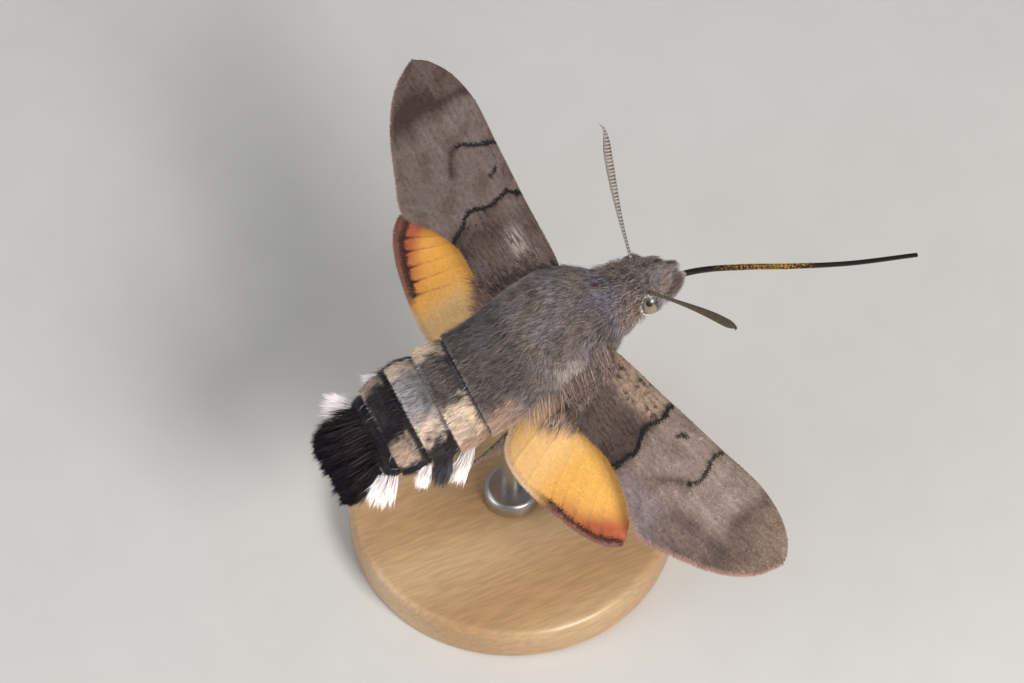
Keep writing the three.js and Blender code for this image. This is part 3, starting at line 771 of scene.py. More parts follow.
def body_marks(points):
    """How much of each colour a place on the body carries, from 0 to 1."""
    ahead, angle = angle_of(points)
    turn = np.abs(np.degrees(angle))
    soft = ripple(points, 1.6, "soft")
    fine = ripple(points, 0.45, "fine")
    flecks = ripple(points, 0.18, "flecks")
    edge = 1 - ring_place(ahead)
    flank = turn + 5 * fine
    on_rings = ((ahead < WAIST) & (ahead > RING_ENDS[-1])).astype(float)
    ring = [band(ahead, rear, front, 0.05) for front, rear in zip(RING_ENDS, RING_ENDS[1:])]
    # The front band of rings 2 and 3, where each runs in under the ring before, is painted darker,
    # bluish black: partly the ring's own darker scales and partly painted shadow cast by the ring
    # before.
    ring_front_dark_and_shadow = on_rings * (ahead < RING_ENDS[1]) * smoothstep(0.8, 0.88, edge)
    patch = ring[3] * band(flank, 36, 78, 8) * band(edge, 0.05, 0.74, 0.08)
    # Over the wing roots the hair turns outward in a whorl that is painted paler with tan and
    # white: partly the hair's own silvery tone, partly painted highlight.
    whorl_and_highlight = band(ahead, 0.9, 3.2, 0.7) * band(turn, 55, 86, 12)
    marks = {}
    marks["olive"] = np.clip(
        0.25 * smoothstep(0, 1, soft) * (ahead > -5)
        + 0.3 * band(ahead, 7.3, 9.2, 0.3) * band(flank, 20, 90, 15), 0, 1)
    marks["blue"] = np.clip(
        0.7 * band(ahead, 5.7, 7.5, 0.4) * band(flank, 0, 70, 15)
        + 0.7 * ring[2] * band(flank, -10, 50, 10) + 0.8 * ring_front_dark_and_shadow * (ring[1] + ring[2])
        + 0.35 * smoothstep(0.2, 1, -soft) * (ahead > -3), 0, 1)
    marks["tan"] = np.clip(
        0.6 * band(ahead, -5.2, -2.2, 0.7) * band(flank, 60, 125, 9) + 0.6 * patch
        + 0.8 * ring[1] * band(flank, 75, 115, 6) + 0.5 * ring[2] * band(flank, 22, 42, 6)
        + 0.2 * whorl_and_highlight + 0.2 * band(ahead, 9.6, 12.5, 0.4) * band(flank, 40, 120, 15)
        + 0.25 * band(ahead, 6.4, 8.6, 0.5) * band(flank, 30, 110, 15), 0, 1)
    marks["cream"] = np.clip(
        ring[1] * band(flank, 33, 80, 5) * near(edge, 0.84, 0.04)
        + 0.9 * ring[2] * band(flank, 31, 59, 5) * near(edge, 0.8, 0.06) + 0.35 * patch, 0, 1)
    marks["gold"] = 0.45 * ring[1] * band(flank, 42, 78, 6) * band(edge, 0.62, 0.84, 0.08)
    spots = [near(np.hypot(ahead - at, points[..., 0] - side), 0.2, 0.1) * (points[..., 2] > 2)
             for at, side in ((9.8, 0.38), (10.55, 0.62))]
    dashes = smoothstep(0.2, 0.7, np.sin(np.degrees(angle) * 1.6)) * band(edge, 0.05, 0.15, 0.02)
    marks["black"] = np.clip(
        0.8 * ring_front_dark_and_shadow * (ring[1] + ring[2]) * smoothstep(0.88, 0.94, edge)
        + 0.8 * ring[2] * smoothstep(0.45, 0.72, edge) * band(flank, -20, 27, 8)
        + 0.93 * ring[2] * band(flank, 61, 130, 4) + 0.8 * ring[1] * band(flank, 34, 62, 4) * dashes
        + ring[3] * 0.9 * (1 - 0.95 * patch) + 0.93 * ring[4] + 0.95 * (ahead <= RING_ENDS[-1])
        + 0.8 * sum(spots) + 0.36 * band(ahead, -5.1, -0.4, 0.6) * band(flank, -20, 62, 12)
        + 0.35 * ring[1] * band(flank, -20, 28, 6) + 0.12 * smoothstep(11.1, 12, ahead)
        + 0.25 * smoothstep(0.6, 1.3, fine + soft), 0, 1)
    scar = np.hypot(ahead - 6.42, points[..., 0] - 0.29)
    marks["rust"] = near(scar, 0.26, 0.1) * (points[..., 2] > 3)
    rim = on_rings * near(edge, 0.035, 0.015) * smoothstep(-0.8, 0.3, fine)
    below_face = turn - 22 * smoothstep(9.5, 10.8, ahead)
    marks["white"] = np.clip(
        0.6 * rim + 0.6 * smoothstep(112, 145, below_face) * (ahead > -2)
        + 0.35 * smoothstep(120, 160, turn) * on_rings + 0.2 * whorl_and_highlight
        + 0.22 * ring[2] * band(flank, -20, 34, 8)
        + 0.15 * band(ahead, 6.0, 7.3, 0.3) * smoothstep(0.6, 1.2, flecks), 0, 1)
    return marks


def palp_radius(t, _):
    """Half width and height of a palp. It swells near its root and rounds off to its tip."""
    swell = np.sqrt(np.clip(1 - ((t - 0.36) / 0.645) ** 2, 0, 1))
    return 0.18 + 0.62 * swell - PALP_COAT, 0.22 + 0.75 * swell - PALP_COAT


def body_skin():
    """One skin from the palps to the fan, with a step at the rear edge of each ring."""
    ahead = np.concatenate([
        np.linspace(SNOUT_TIP, WAIST, 110), np.linspace(WAIST, RING_ENDS[-1], 150)[1:],
        np.linspace(RING_ENDS[-1], FAN_TIP + 0.6, 40)[1:]])
    angle = np.linspace(0, 2 * np.pi, 96, endpoint=False)
    shells = [closed_skin(on_body(ahead[:, None], angle))]
    for side in SIDES.values():
        shells.append(closed_skin(rod(places(PALP_PATH, side), palp_radius, 24, 28)))
    points, faces = united(shells)
    marks = body_marks(points)
    marks["shade"] = np.clip(0.4 * ripple(points, 0.35, "skin"), -1, 1)
    marks["tip"] = np.full(len(points), 0.3)
    nodes = ["head", "thorax", "tail_fan", "palp_left", "palp_right"]
    nodes += [f"abdomen_ring_{k + 1}" for k in range(len(RING_ENDS) - 1)]
    piece("body_skin", hung(points), faces, body_cuticle, nodes,
          numbers=marks)


# Tufts


def tuft_piece(name, root, middle, tip, over, width, marks, unwrap, material,
               thick=0.35):
    """Tufts joined into one piece. Each is a closed spike of three sides, bent at its middle
    unless middle is None. unwrap gives each one's place on its map."""
    count = len(root)
    across = unit(np.cross(tip - root, over))
    ridge = unit(np.cross(across, tip - root))
    half = width[:, None] / 2

    def section(centre, share):
        return [centre - across * half * share, centre + across * half * share,
                centre + ridge * half * 2 * thick * share]

    spots = section(root, 1.0)
    along = [0.0] * 3
    cells = [[0, 1, 2]]
    if middle is not None:
        spots += section(middle, 0.9)
        along += [0.5] * 3
        for a, b in ((0, 1), (1, 2), (2, 0)):
            cells += [[a, a + 3, b + 3], [a, b + 3, b]]
    last = len(spots) - 3
    spots.append(tip)
    along.append(1.0)
    cells += [[last + a, last + 3, last + b] for a, b in ((0, 1), (1, 2), (2, 0))]
    each = len(spots)
    points = np.stack(spots, 1).reshape(-1, 3)
    cells = np.array(cells)
    if (facing_out(points[:each], cells) != cells).any():
        cells = cells[:, ::-1]
    faces = (np.arange(count)[:, None, None] * each + cells).reshape(-1, 3)
    numbers = {key: np.repeat(values, each) for key, values in marks.items()}
    numbers["tip"] = np.tile(along, count)
    made = piece(name, hung(points), faces, material, smooth=False, numbers=numbers)
    bake_map(made, unwrap, each)


def bake_map(made, unwrap, each):
    """A UV map where each tuft is a patch 0.003 across at its root's place on the unwrap."""
    patch = 0.003
    turn = np.arange(each) * 2 * np.pi / each
    offsets = np.stack([np.cos(turn), np.sin(turn)], -1) * patch / 2
    spread = np.clip(unwrap, 0, 1) * (1 - 2 * patch) + patch
    spots = (spread[:, None] + offsets).reshape(-1, 2)
    corner = np.zeros(len(made.data.loops), np.int32)
    made.data.loops.foreach_get("vertex_index", corner)
    layer = made.data.uv_layers.new(name="OFBake")
    layer.data.foreach_set("uv", spots[corner].astype(np.float32).ravel())


def scattered(front, rear, spacing, name):
    """Root places over a length of the body: staggered rows, each place shaken a little."""
    rng = dice(name)
    rows = []
    ahead = front
    while ahead > rear:
        half, top, under, _ = outline(np.array(ahead))
        girth = np.pi * (half + (top + under) / 2)
        count = max(6, int(girth / spacing))
        angle = (np.arange(count) + rng.uniform(-0.5, 0.5, count)) * 2 * np.pi / count
        shaken = ahead + rng.uniform(-0.7, 0.7, count) * spacing
        rows.append(np.stack([shaken, angle + rng.uniform(0, 2 * np.pi)], -1))
        ahead -= spacing
    found = np.concatenate(rows)
    found = found[(found[:, 0] < front) & (found[:, 0] > rear)]
    return found[:, 0], (found[:, 1] + np.pi) % (2 * np.pi) - np.pi


def clear_of_eyes(points):
    """Which points lie outside both eyes."""
    clear = np.full(len(points), True)
    for side in SIDES.values():
        centre = place(EYE["ahead"], side * EYE["side"], EYE["up"])
        clear &= np.linalg.norm(points - centre, axis=1) > EYE["radius"] + 0.02
    return clear


def spine(root, way, out, lift, length, bent):
    """Middle and tip of tufts that leave their roots along way, lifted off the skin."""
    lift = np.radians(lift)[:, None]
    length = length[:, None]
    if not bent:
        return None, root + (way * np.cos(lift) + out * np.sin(lift)) * length
    middle = root + (way * np.cos(1.6 * lift) + out * np.sin(1.6 * lift)) * length / 2
    return middle, middle + (way * np.cos(0.3 * lift) + out * np.sin(0.3 * lift)) * length / 2


def body_coat(name, front, rear, spacing, habit, bent=False):
    """A coat of tufts over a length of the body. habit(ahead, angle, rng) gives length, width,
    lift and lean in degrees, and flow, 1 where the coat lies back and -1 forward."""
    rng = dice(name)
    ahead, angle = scattered(front, rear, spacing, name)
    root = on_body(ahead, angle, rise=-0.03)
    kept = clear_of_eyes(root)
    ahead, angle, root = ahead[kept], angle[kept], root[kept]
    back, round_, out = lie(ahead, angle)
    length, width, lift, lean, flow = habit(ahead, angle, rng)
    lean = np.radians(lean)[:, None]
    way = unit(back * flow[:, None] * np.cos(lean) + round_ * np.sin(lean))
    middle, tip = spine(root, way, out, lift, length, bent)
    marks = body_marks(root + rng.normal(0, 0.03, root.shape))
    locks = ripple(root * [1, 0.22, 1], 0.11, name + " locks")
    shade = np.clip(rng.normal(0, 0.4, len(ahead)) + 0.4 * locks, -1, 1)
    marks["shade"] = shade * (1 - 0.6 * np.maximum(marks["cream"], marks["tan"]))
    for mark in ("olive", "blue"):
        marks[mark] = np.clip(marks[mark] + rng.uniform(-0.4, 0.5, len(ahead)), 0, 1)
    unwrap = np.stack([(angle + np.pi) / (2 * np.pi), (ahead - rear) / (front - rear)], -1)
    tuft_piece(name, root, middle, tip, out, width, marks, unwrap, coat_hair)


def turned_by(ahead, angle, size, name):
    """Noise over the body, for how much a tuft turns with its neighbours."""
    return ripple(on_body(ahead, angle, False), size, name)


def thorax_habit(ahead, angle, rng):
    """Short velvet combed back. It turns outward over the wing roots."""
    count = len(ahead)
    turn = np.abs(np.degrees(angle))
    to_wing = band(ahead, -0.5, 4.2, 1.0) * band(turn, 40, 110, 22)
    length = rng.uniform(0.38, 0.66, count) + 0.2 * smoothstep(0, -3, ahead) + 0.45 * to_wing
    lift = rng.uniform(3, 13, count) + 6 * smoothstep(4, 7, ahead) + 6 * to_wing
    lean = (np.sign(angle) * (62 * to_wing + 10 * band(ahead, -2, 5, 1.5))
            + 10 * turned_by(ahead, angle, 1.2, "thorax") + rng.normal(0, 10, count))
    return length, rng.uniform(0.035, 0.06, count), lift, lean, np.ones(count)


def abdomen_habit(ahead, angle, rng):
    """Flat scale-hair on each ring, lying close, that ends in a fringe over the next ring."""
    count = len(ahead)
    length = rng.uniform(0.38, 0.62, count)
    length = np.minimum(length, room_in_ring(ahead) + rng.uniform(0.1, 0.22, count))
    lift = rng.uniform(2, 10, count) + 3 * smoothstep(50, 120, np.abs(np.degrees(angle)))
    lean = 8 * turned_by(ahead, angle, 1.0, "rings") + rng.normal(0, 8, count)
    return length, rng.uniform(0.04, 0.07, count), lift, lean, np.ones(count)


def overcoat_habit(ahead, angle, rng):
    """Longer scattered hair that softens the outline."""
    count = len(ahead)
    length = rng.uniform(0.5, 0.95, count)
    length = np.minimum(length, room_in_ring(ahead) + rng.uniform(0.15, 0.35, count))
    lift = rng.uniform(8, 24, count)
    lean = 10 * turned_by(ahead, angle, 1.2, "thorax") + rng.normal(0, 14, count)
    return length, rng.uniform(0.03, 0.045, count), lift, lean, np.ones(count)


def head_habit(ahead, angle, rng):
    """Felted hair: forward on the face, back over the crown, ruffled where the two part."""
    count = len(ahead)
    forward = smoothstep(8.9, 9.9, ahead + rng.normal(0, 0.15, count))
    turn = np.abs(np.degrees(angle))
    ruffled = band(ahead, 7.3, 9.3, 0.4) * band(turn, 8, 95, 15)
    length = rng.uniform(0.26, 0.46, count) + 0.42 * ruffled * rng.uniform(0, 1, count) ** 2
    lift = rng.uniform(8, 28, count) + 42 * ruffled * rng.uniform(0, 1, count)
    lean = 22 * turned_by(ahead, angle, 0.9, "head") + rng.normal(0, 22, count)
    flow = np.where(rng.uniform(size=count) < forward, -1.0, 1.0)
    return length, rng.uniform(0.032, 0.055, count), lift, lean, flow


def brow_habit(ahead, angle, rng):
    """Longer hair on the front of the face that lies forward over the roots of the palps."""
    count = len(ahead)
    length = rng.uniform(0.6, 1.15, count) - 0.3 * smoothstep(60, 120, np.abs(np.degrees(angle)))
    lean = 10 * turned_by(ahead, angle, 0.9, "head") + rng.normal(0, 14, count)
    return length, rng.uniform(0.03, 0.05, count), rng.uniform(2, 16, count), lean, -np.ones(count)


def crest_habit(ahead, angle, rng):
    """Fine loose hair that stands up behind the feelers."""
    count = len(ahead)
    stands = band(ahead, 6.5, 9.5, 0.4) * rng.uniform(0, 1, count)
    length = rng.uniform(0.4, 0.6, count) + 0.5 * stands
    lift = rng.uniform(12, 35, count) + 30 * stands
    return length, rng.uniform(0.03, 0.045, count), lift, rng.normal(0, 30, count), np.ones(count)


def coats():
    """The coats from the face to the last ring. Each call gives where a coat starts and ends,
    the spacing of its tufts and how they grow."""
    body_coat("head_coat", 11.1, NECK, 0.05, head_habit)
    body_coat("brow_coat", 11.25, 9.9, 0.075, brow_habit, True)
    body_coat("crest_coat", 9.9, 6.6, 0.12, crest_habit, True)
    body_coat("collar_coat", NECK + 0.1, 3.6, 0.058, thorax_habit)
    body_coat("thorax_coat", 3.6, 0.4, 0.055, thorax_habit)
    body_coat("loin_coat", 0.4, WAIST - 0.05, 0.059, thorax_habit)
    body_coat("front_rings_coat", WAIST, RING_ENDS[2], 0.064, abdomen_habit)
    body_coat("middle_rings_coat", RING_ENDS[2], RING_ENDS[4], 0.064, abdomen_habit)
    body_coat("rear_ring_coat", RING_ENDS[4], -14.5, 0.064, abdomen_habit)
    body_coat("thorax_overcoat", 7.6, WAIST, 0.2, overcoat_habit, True)
    body_coat("abdomen_overcoat", WAIST, -13, 0.2, overcoat_habit, True)


def tuft_map(root):
    """An unwrap of the moth's own shape for loose brushes: along the body and round it."""
    ahead, angle = angle_of(root)
    low, high = ahead.min(), ahead.max()
    return np.stack([(angle + np.pi) / (2 * np.pi), (ahead - low) / (high - low)], -1)


def plain_marks(count, **amounts):
    """Amounts of the coat's colours that don't depend on the place."""
    marks = {name: np.zeros(count) for name in COAT_MARKS}
    for name, amount in amounts.items():
        marks[name] = np.clip(np.broadcast_to(amount, count), 0, 1)
    return marks


def tail_fan():
    """Long scale-hair fanned out behind the abdomen, in layers and loose locks."""
    rng = dice("tail fan")
    count = TUFTS["tail_fan"]
    ahead = rng.uniform(-16.7, -12.9, count)
    angle = rng.uniform(-np.pi, np.pi, count)
    root = on_body(ahead, angle, False, rise=-0.05)
    beside_brush = (np.abs(root[:, 0] - swing_at(ahead)) > 2.3) & (ahead > -14.3)
    ahead, angle, root = (values[~beside_brush] for values in (ahead, angle, root))
    count = len(root)
    _, _, out = lie(ahead, angle)
    focus = place(-6.5, swing_at(ahead), outline(ahead)[3] + 0.2)
    locks = np.stack([ripple(root * [1, 0.3, 1], 0.35, f"fan lock {k}") for k in range(3)], -1)
    way = unit(unit(root - focus) + rng.normal(0, 0.1, root.shape) + 0.08 * locks)
    droop = place(-1, 0, -0.32)
    way = unit(way + 0.25 * droop)
    share = np.abs(root[:, 0] - swing_at(ahead)) / 3.3
    limit = FAN_TIP + 0.1 + 1.1 * share ** 3 + rng.uniform(0, 0.7, count) + 0.3 * locks[:, 0]
    room = (ahead - limit) / np.maximum(way[:, 1], 0.2)
    length = np.minimum(rng.uniform(0.9, 2.2, count), np.maximum(room, 0.4))
    middle, tip = spine(root, way, out, rng.uniform(2, 14, count), length, True)
    brown = rng.uniform(0, 1, count) ** 3 * near(-ahead, 14.6, 0.9)
    marks = plain_marks(count, black=1 - 0.45 * brown, tan=0.15 * brown)
    marks["shade"] = np.clip(rng.normal(-0.35, 0.6, count) + 0.35 * locks[:, 1], -1, 1)
    tuft_piece("tail_fan_hair", root, middle, tip, out, rng.uniform(0.035, 0.075, count), marks,
               tuft_map(root), black_hair, thick=0.3)


def side_brush(name, brush, side):
    """A brush of broad flat scales on one side of the abdomen: white on rings 2, 4 and 5,
    bluish black on ring 3."""
    rng = dice(name)
    count = TUFTS["side_brush"]
    start, end = places([brush["root"], brush["tip"]], side)
    axis = end - start
    across = unit(np.cross(axis, [0, 0, 1]))
    over = unit(np.cross(across, axis))
    ring = np.sqrt(rng.uniform(0, 1, count))
    turn = rng.uniform(0, 2 * np.pi, count)
    wide, high = brush["size"]
    splay = (across * (wide * ring * np.cos(turn))[:, None]
             + over * (high * ring * np.sin(turn))[:, None])
    lock = 0.08 * ripple(splay, 0.35, name)[:, None] * across
    root = start + axis * rng.uniform(-0.15, 0.4, (count, 1)) + splay * 0.7
    reach = rng.uniform(0.6, 1.14, (count, 1))
    tip = start + axis * reach + splay * 1.35 + lock + rng.normal(0, 0.12, (count, 3))
    bulge = place(0, side * 0.12, 0.04)
    middle = (root + tip) / 2 + bulge + rng.normal(0, 0.03, (count, 3))
    is_white = brush["ring"] != 3
    marks = plain_marks(count, blue=0.6, black=0 if is_white else 0.85, cream=0.5 * is_white,
                        white=rng.uniform(0.7, 1, count) if is_white else 0)
    marks["shade"] = np.clip(rng.normal(0.15, 0.25, count), -1, 1)
    tuft_piece(name, root, middle, tip, np.broadcast_to(over, root.shape),
               rng.uniform(0.05, 0.09, count), marks, tuft_map(root), coat_hair,
               thick=0.3)


def side_brushes(side_name, side):
    """All the brushes along one side of the abdomen."""
    for brush in SIDE_BRUSHES:
        side_brush(f"side_brush_{brush['ring']}_{side_name}", brush, side)


def rod_coat(name, path, radius, count, length, width, lift, span=(0, 1), tone=None):
    """Short scales along a rod such as a palp or a leg, pointing to its tip."""
    rng = dice(name)
    t = rng.uniform(*span, count)
    angle = rng.uniform(0, 2 * np.pi, count)
    centre, way, across, over = rod_frame(path, t)
    wide, high = radius(t, angle)
    cos, sin = np.cos(angle)[:, None], np.sin(angle)[:, None]
    out = unit(across * cos + over * sin)
    root = centre + across * cos * wide[:, None] + over * sin * high[:, None] - out * 0.02
    way = unit(way + rng.normal(0, 0.18, way.shape))
    _, tip = spine(root, way, out, rng.uniform(*lift, count), rng.uniform(*length, count), False)
    marks = body_marks(root) if tone is None else plain_marks(count, **tone)
    marks["shade"] = np.clip(rng.normal(0, 0.45, count), -1, 1)
    unwrap = np.stack([angle / (2 * np.pi), t], -1)
    tuft_piece(name, root, None, tip, out, rng.uniform(*width, count), marks, unwrap,
               coat_hair)


# Head


def palp_coat(side_name, side):
    """Felted hair on a palp."""
    rod_coat(f"palp_coat_{side_name}", places(PALP_PATH, side), palp_radius, TUFTS["palp"],
             (0.24, 0.44), (0.032, 0.055), (12, 34))


def eye_axes(side):
    """The ways out of an eye's cornea, forward across it and up across it."""
    out = unit(places([CORNEA_WAY], side))[0]
    ahead = place(1, 0, 0)
    forward = unit(ahead - out * (ahead @ out))
    return out, forward, np.cross(forward, out) * -side


def off_cornea(ways, side):
    """How far out of the bare cornea each way from the eye's middle is: 1 at its edge. It is
    an oval that reaches further forward and down."""
    out, forward, above = eye_axes(side)
    oval = np.hypot(ways @ forward * EYE["radius"] / CORNEA["width"],
                    ways @ above * EYE["radius"] / CORNEA["height"])
    low_front = smoothstep(0.55, 0.85, ways @ unit(place(0.45, side * 0.35, -0.82)))
    return np.where(ways @ out > 0, oval * (1 - 0.45 * low_front), 9)


def eye(side_name, side):
    """A domed eye with a dark false pupil painted on it, darkened at the edge of the bare cornea by
    painted shade.
    """
    height, turn = np.meshgrid(np.linspace(0.02, np.pi - 0.02, 60),
                               np.linspace(0, 2 * np.pi, 96, endpoint=False), indexing="ij")
    ball = np.stack([np.sin(height) * np.cos(turn), np.sin(height) * np.sin(turn),
                     np.cos(height)], -1)
    points, faces = closed_skin(ball)
    # The false pupil is painted shade: the dark spot a compound eye shows where one looks straight
    # down its facets. On a live eye it follows the viewer; here it stays where the eye faces the
    # camera.
    to_viewer = TURN.T @ camera_axes()[2]
    looks_at = unit(to_viewer * [-side, 1, 1] + place(-0.1, side * 0.22, -0.14))
    off_pupil = np.arccos(np.clip(points @ looks_at, -1, 1))
    centre = place(EYE["ahead"], side * EYE["side"], EYE["up"])
    numbers = {"pupil": near(off_pupil, FALSE_PUPIL["size"], FALSE_PUPIL["soft"]),
               "rim": smoothstep(0.72, 1.15, off_cornea(points, side))}
    piece(f"eye_ball_{side_name}", hung(points * EYE["radius"] + centre), faces, eye_cornea,
          [f"eye_{side_name}"], numbers=numbers)


def eye_lid(side_name, side):
    """Hair that closes in round a cornea: white scales at its rear and top edge, dark ones at
    its front, and the head's own hair beyond them."""
    rng = dice("eye lid " + side_name)
    out = unit(rng.normal(size=(TUFTS["eye_lid"], 3)))
    off = off_cornea(out, side)
    lateral = out @ place(0, side, 0)
    kept = (off > 1) & (lateral > -0.3)
    out, off = out[kept], off[kept]
    count = len(out)
    middle_way, forward, _ = eye_axes(side)
    way = unit(out * dot(out, middle_way) - middle_way + rng.normal(0, 0.3, out.shape))
    centre = place(EYE["ahead"], side * EYE["side"], EYE["up"])
    root = centre + out * (EYE["radius"] - 0.03)
    length = rng.uniform(0.16, 0.3, count)
    _, tip = spine(root, way, out, rng.uniform(8, 34, count), length, False)
    marks = body_marks(root)
    edge = near(off, 1.3, 0.12)
    in_front = smoothstep(0.1, 0.5, out @ forward)
    marks["white"] = np.clip(0.85 * edge * (1 - in_front) + 0.25 * (off < 2.2), 0, 1)
    marks["black"] = np.clip(0.75 * edge * in_front + 0.1, 0, 1)
    marks["shade"] = np.clip(rng.normal(0, 0.4, count), -1, 1)
    tuft_piece(f"eye_lid_{side_name}", root, None, tip, out, rng.uniform(0.03, 0.05, count),
               marks, tuft_map(root), coat_hair)


def feeler_path(side_name, side):
    """Places along a feeler, out in a low arc to its hooked tip."""
    reach, bow = (FEELER_FORWARD[side_name][key] for key in ("reach", "bow"))
    t = np.array([-0.05, 0.2, 0.4, 0.6, 0.8, 0.98])
    arc = np.sin(np.pi * t)
    path = place(FEELER_ROOT["ahead"] + reach * t + bow * arc,
                 side * (FEELER_ROOT["side"] + FEELER_REACH["side"] * t),
                 FEELER_ROOT["up"] + FEELER_REACH["up"] * t - FEELER_REACH["sag"] * arc)
    return np.concatenate([path, path[-1:] + place(-0.15, side * 0.3, 0.45)])


def feeler_radius(at, _):
    """Half the thickness of a feeler: a knob at its root, a club and grooves between joints."""
    club = smoothstep(0.12, 0.74, at)
    hook = smoothstep(0.8, 1, at)
    base = near(at, 0.035, 0.01) * 0.06
    size = FEELER_RADIUS["root"] + (FEELER_RADIUS["club"] - FEELER_RADIUS["root"]) * club
    size = (size + base) * (1 - 0.9 * hook)
    ridge = smoothstep(0, 0.4, at * FEELER_JOINTS % 1)
    groove = FEELER_GROOVE_DEPTH * (1 - hook) * (1 - ridge)
    return size - groove, size - groove


def feeler(side_name, side):
    """A ringed feeler that swells to a club and ends in a small hook. Dust fills the grooves
    along its rear side."""
    steps, sides = FEELER_JOINTS * 8, 16
    rings = rod(feeler_path(side_name, side), feeler_radius, steps, sides)
    points, faces = closed_skin(rings)
    at = np.append(np.repeat(np.linspace(0, 1, steps + 1), sides), [0, 1])
    angle = np.append(np.tile(np.arange(sides) * 2 * np.pi / sides, steps + 1), [0, 0])
    thick_dust = FEELER_DUST[side_name] * smoothstep(-0.2, 0.9, np.sin(angle - 1.3))
    groove = 0.95 * near(at * FEELER_JOINTS % 1, 0.38, 0.14)
    numbers = {"groove": groove * (1 - 0.75 * thick_dust),
               "dusted": FEELER_DUST[side_name] * smoothstep(-0.9, 0.3, np.sin(angle))}
    piece(f"feeler_rings_{side_name}", hung(points), faces, feeler_chitin,
          [f"feeler_{side_name}"], numbers=numbers)


def tongue_radius(t, angle):
    """Half the tongue's width and height, with a groove above and below."""
    size = TONGUE_RADIUS["root"] + (TONGUE_RADIUS["tip"] - TONGUE_RADIUS["root"]) * t
    groove = 1 - 0.3 * np.exp(-(np.cos(angle) / 0.25) ** 2)
    return size * groove * 1.05, size * groove


def tongue():
    """Two half tubes side by side, with a groove between them."""
    path = places(TONGUE_PATH)
    steps, sides = 240, 32
    points, faces = closed_skin(rod(path, tongue_radius, steps, sides))
    length = np.linalg.norm(np.diff(smooth_curve(path, 200), axis=0), axis=1).sum()
    along = np.append(np.repeat(np.linspace(0, length, steps + 1), sides), [0, length])
    piece("tongue_tube", hung(points), faces, tongue_chitin,
          ["tongue_near", "tongue_far"], numbers={"along": along})


def tongue_dust():
    """Grains of pollen stuck to the top of the tongue, each a lumpy ball of eight faces."""
    path = places(TONGUE_PATH)
    rng = dice("pollen")
    grains = []
    corners = np.concatenate([np.eye(3), -np.eye(3)])
    cells = np.array([[0, 1, 2], [1, 3, 2], [3, 4, 2], [4, 0, 2],
                      [1, 0, 5], [3, 1, 5], [4, 3, 5], [0, 4, 5]])
    for _ in range(POLLEN_GRAINS):
        t = rng.triangular(0.16, 0.45, 0.6)
        centre, _, across, over = rod_frame(path, np.array([t]))
        angle = rng.normal(np.pi / 2, 0.9)
        out = across[0] * np.cos(angle) + over[0] * np.sin(angle)
        size = rng.uniform(0.02, 0.045)
        wide, _ = tongue_radius(t, angle)
        lumpy = corners * size * rng.uniform(0.8, 1.2, (6, 1))
        grains.append((centre[0] + out * (wide + size * 0.5) + lumpy, cells))
    points, faces = joined(grains)
    piece("tongue_pollen", hung(points), faces, pollen)


# Wings


def wing_frame(side_name, kind):
    """A wing's hinge, and its ways out, back and over."""
    side = SIDES[side_name]
    held = WINGS[side_name]
    f, r, w = np.radians([held["forward"], held["raise"], held["twist"]])
    out = place(np.sin(f) * np.cos(r), side * np.cos(f) * np.cos(r), np.sin(r))
    level = place(-1, 0, 0)
    level = unit(level - out * dot(out, level))
    back = level * np.cos(w) - np.cross(out, level) * side * np.sin(w)
    over = np.cross(out, back) * side
    hinge = place(HINGE["ahead"], side * HINGE["side"], HINGE["up"])
    if kind == "hindwing":
        turn = np.radians(held["hind_turn"])
        out, back = (out * np.cos(turn) - back * np.sin(turn),
                     back * np.cos(turn) + out * np.sin(turn))
        hinge = hinge + HIND_HINGE_SHIFT
    return hinge, out, back, over


def wing_plan(kind, s, t):
    """Places in a wing's plane at a share s of its length and t across, inside its fringe."""
    front = along_curve(EDGES[kind]["front"], s)
    rear = along_curve(EDGES[kind]["rear"], s)
    chord = np.linalg.norm(rear - front, axis=-1)
    inset = BLADE_INSET[kind]
    share = t * (1 - inset / np.maximum(chord, 2 * inset))
    found = front + (rear - front) * share[..., None]
    reach = EDGES[kind]["front"][-1][0]
    found[..., 0] *= 1 - inset / reach * smoothstep(0.6, 1, found[..., 0] / reach)
    return found


def on_wing(side_name, kind, plan, t, above):
    """Places on a wing from its plane, above its middle surface."""
    hinge, out, back, over = wing_frame(side_name, kind)
    along = np.pi * plan[..., 0] / WING_LENGTH
    pleat = sum(np.exp(-(off_path(plan, vein) / 0.4) ** 2) for vein in VEINS[kind])
    lift = (CAMBER * np.sin(np.pi * t) + above + PLEAT[kind] * np.minimum(pleat, 1.2)
            + BEND_SHARE[kind] * (ARCH * np.sin(along) + WAVE * np.sin(2 * along)))
    return hinge + plan[..., :1] * out + plan[..., 1:] * back + lift[..., None] * over


def blade_depth(kind, plan):
    """Half a wing's thickness: a thin film, thicker at its veins and its front edge."""
    veins = sum(np.exp(-(off_path(plan, vein) / 0.1) ** 2) for vein in VEINS[kind])
    front = np.exp(-(off_path(plan, EDGES[kind]["front"]) / 0.25) ** 2)
    thinning = 1 - 0.7 * plan[..., 0] / WING_LENGTH
    return 0.03 + thinning * (0.05 * np.minimum(veins, 1.2) + 0.12 * front)


def growth(kind, s, t):
    """The way the scales point in the wing's plane: along its front edge there, and turning
    out over its rear edge."""
    step = 0.01
    along = unit(wing_plan(kind, np.minimum(s + step, 1), t)
                 - wing_plan(kind, np.maximum(s - step, 0), t))
    across = unit(wing_plan(kind, s, np.minimum(t + step, 1))
                  - wing_plan(kind, s, np.maximum(t - step, 0)))
    return unit(along + SCALE_TURN[kind] * t[..., None] * across)


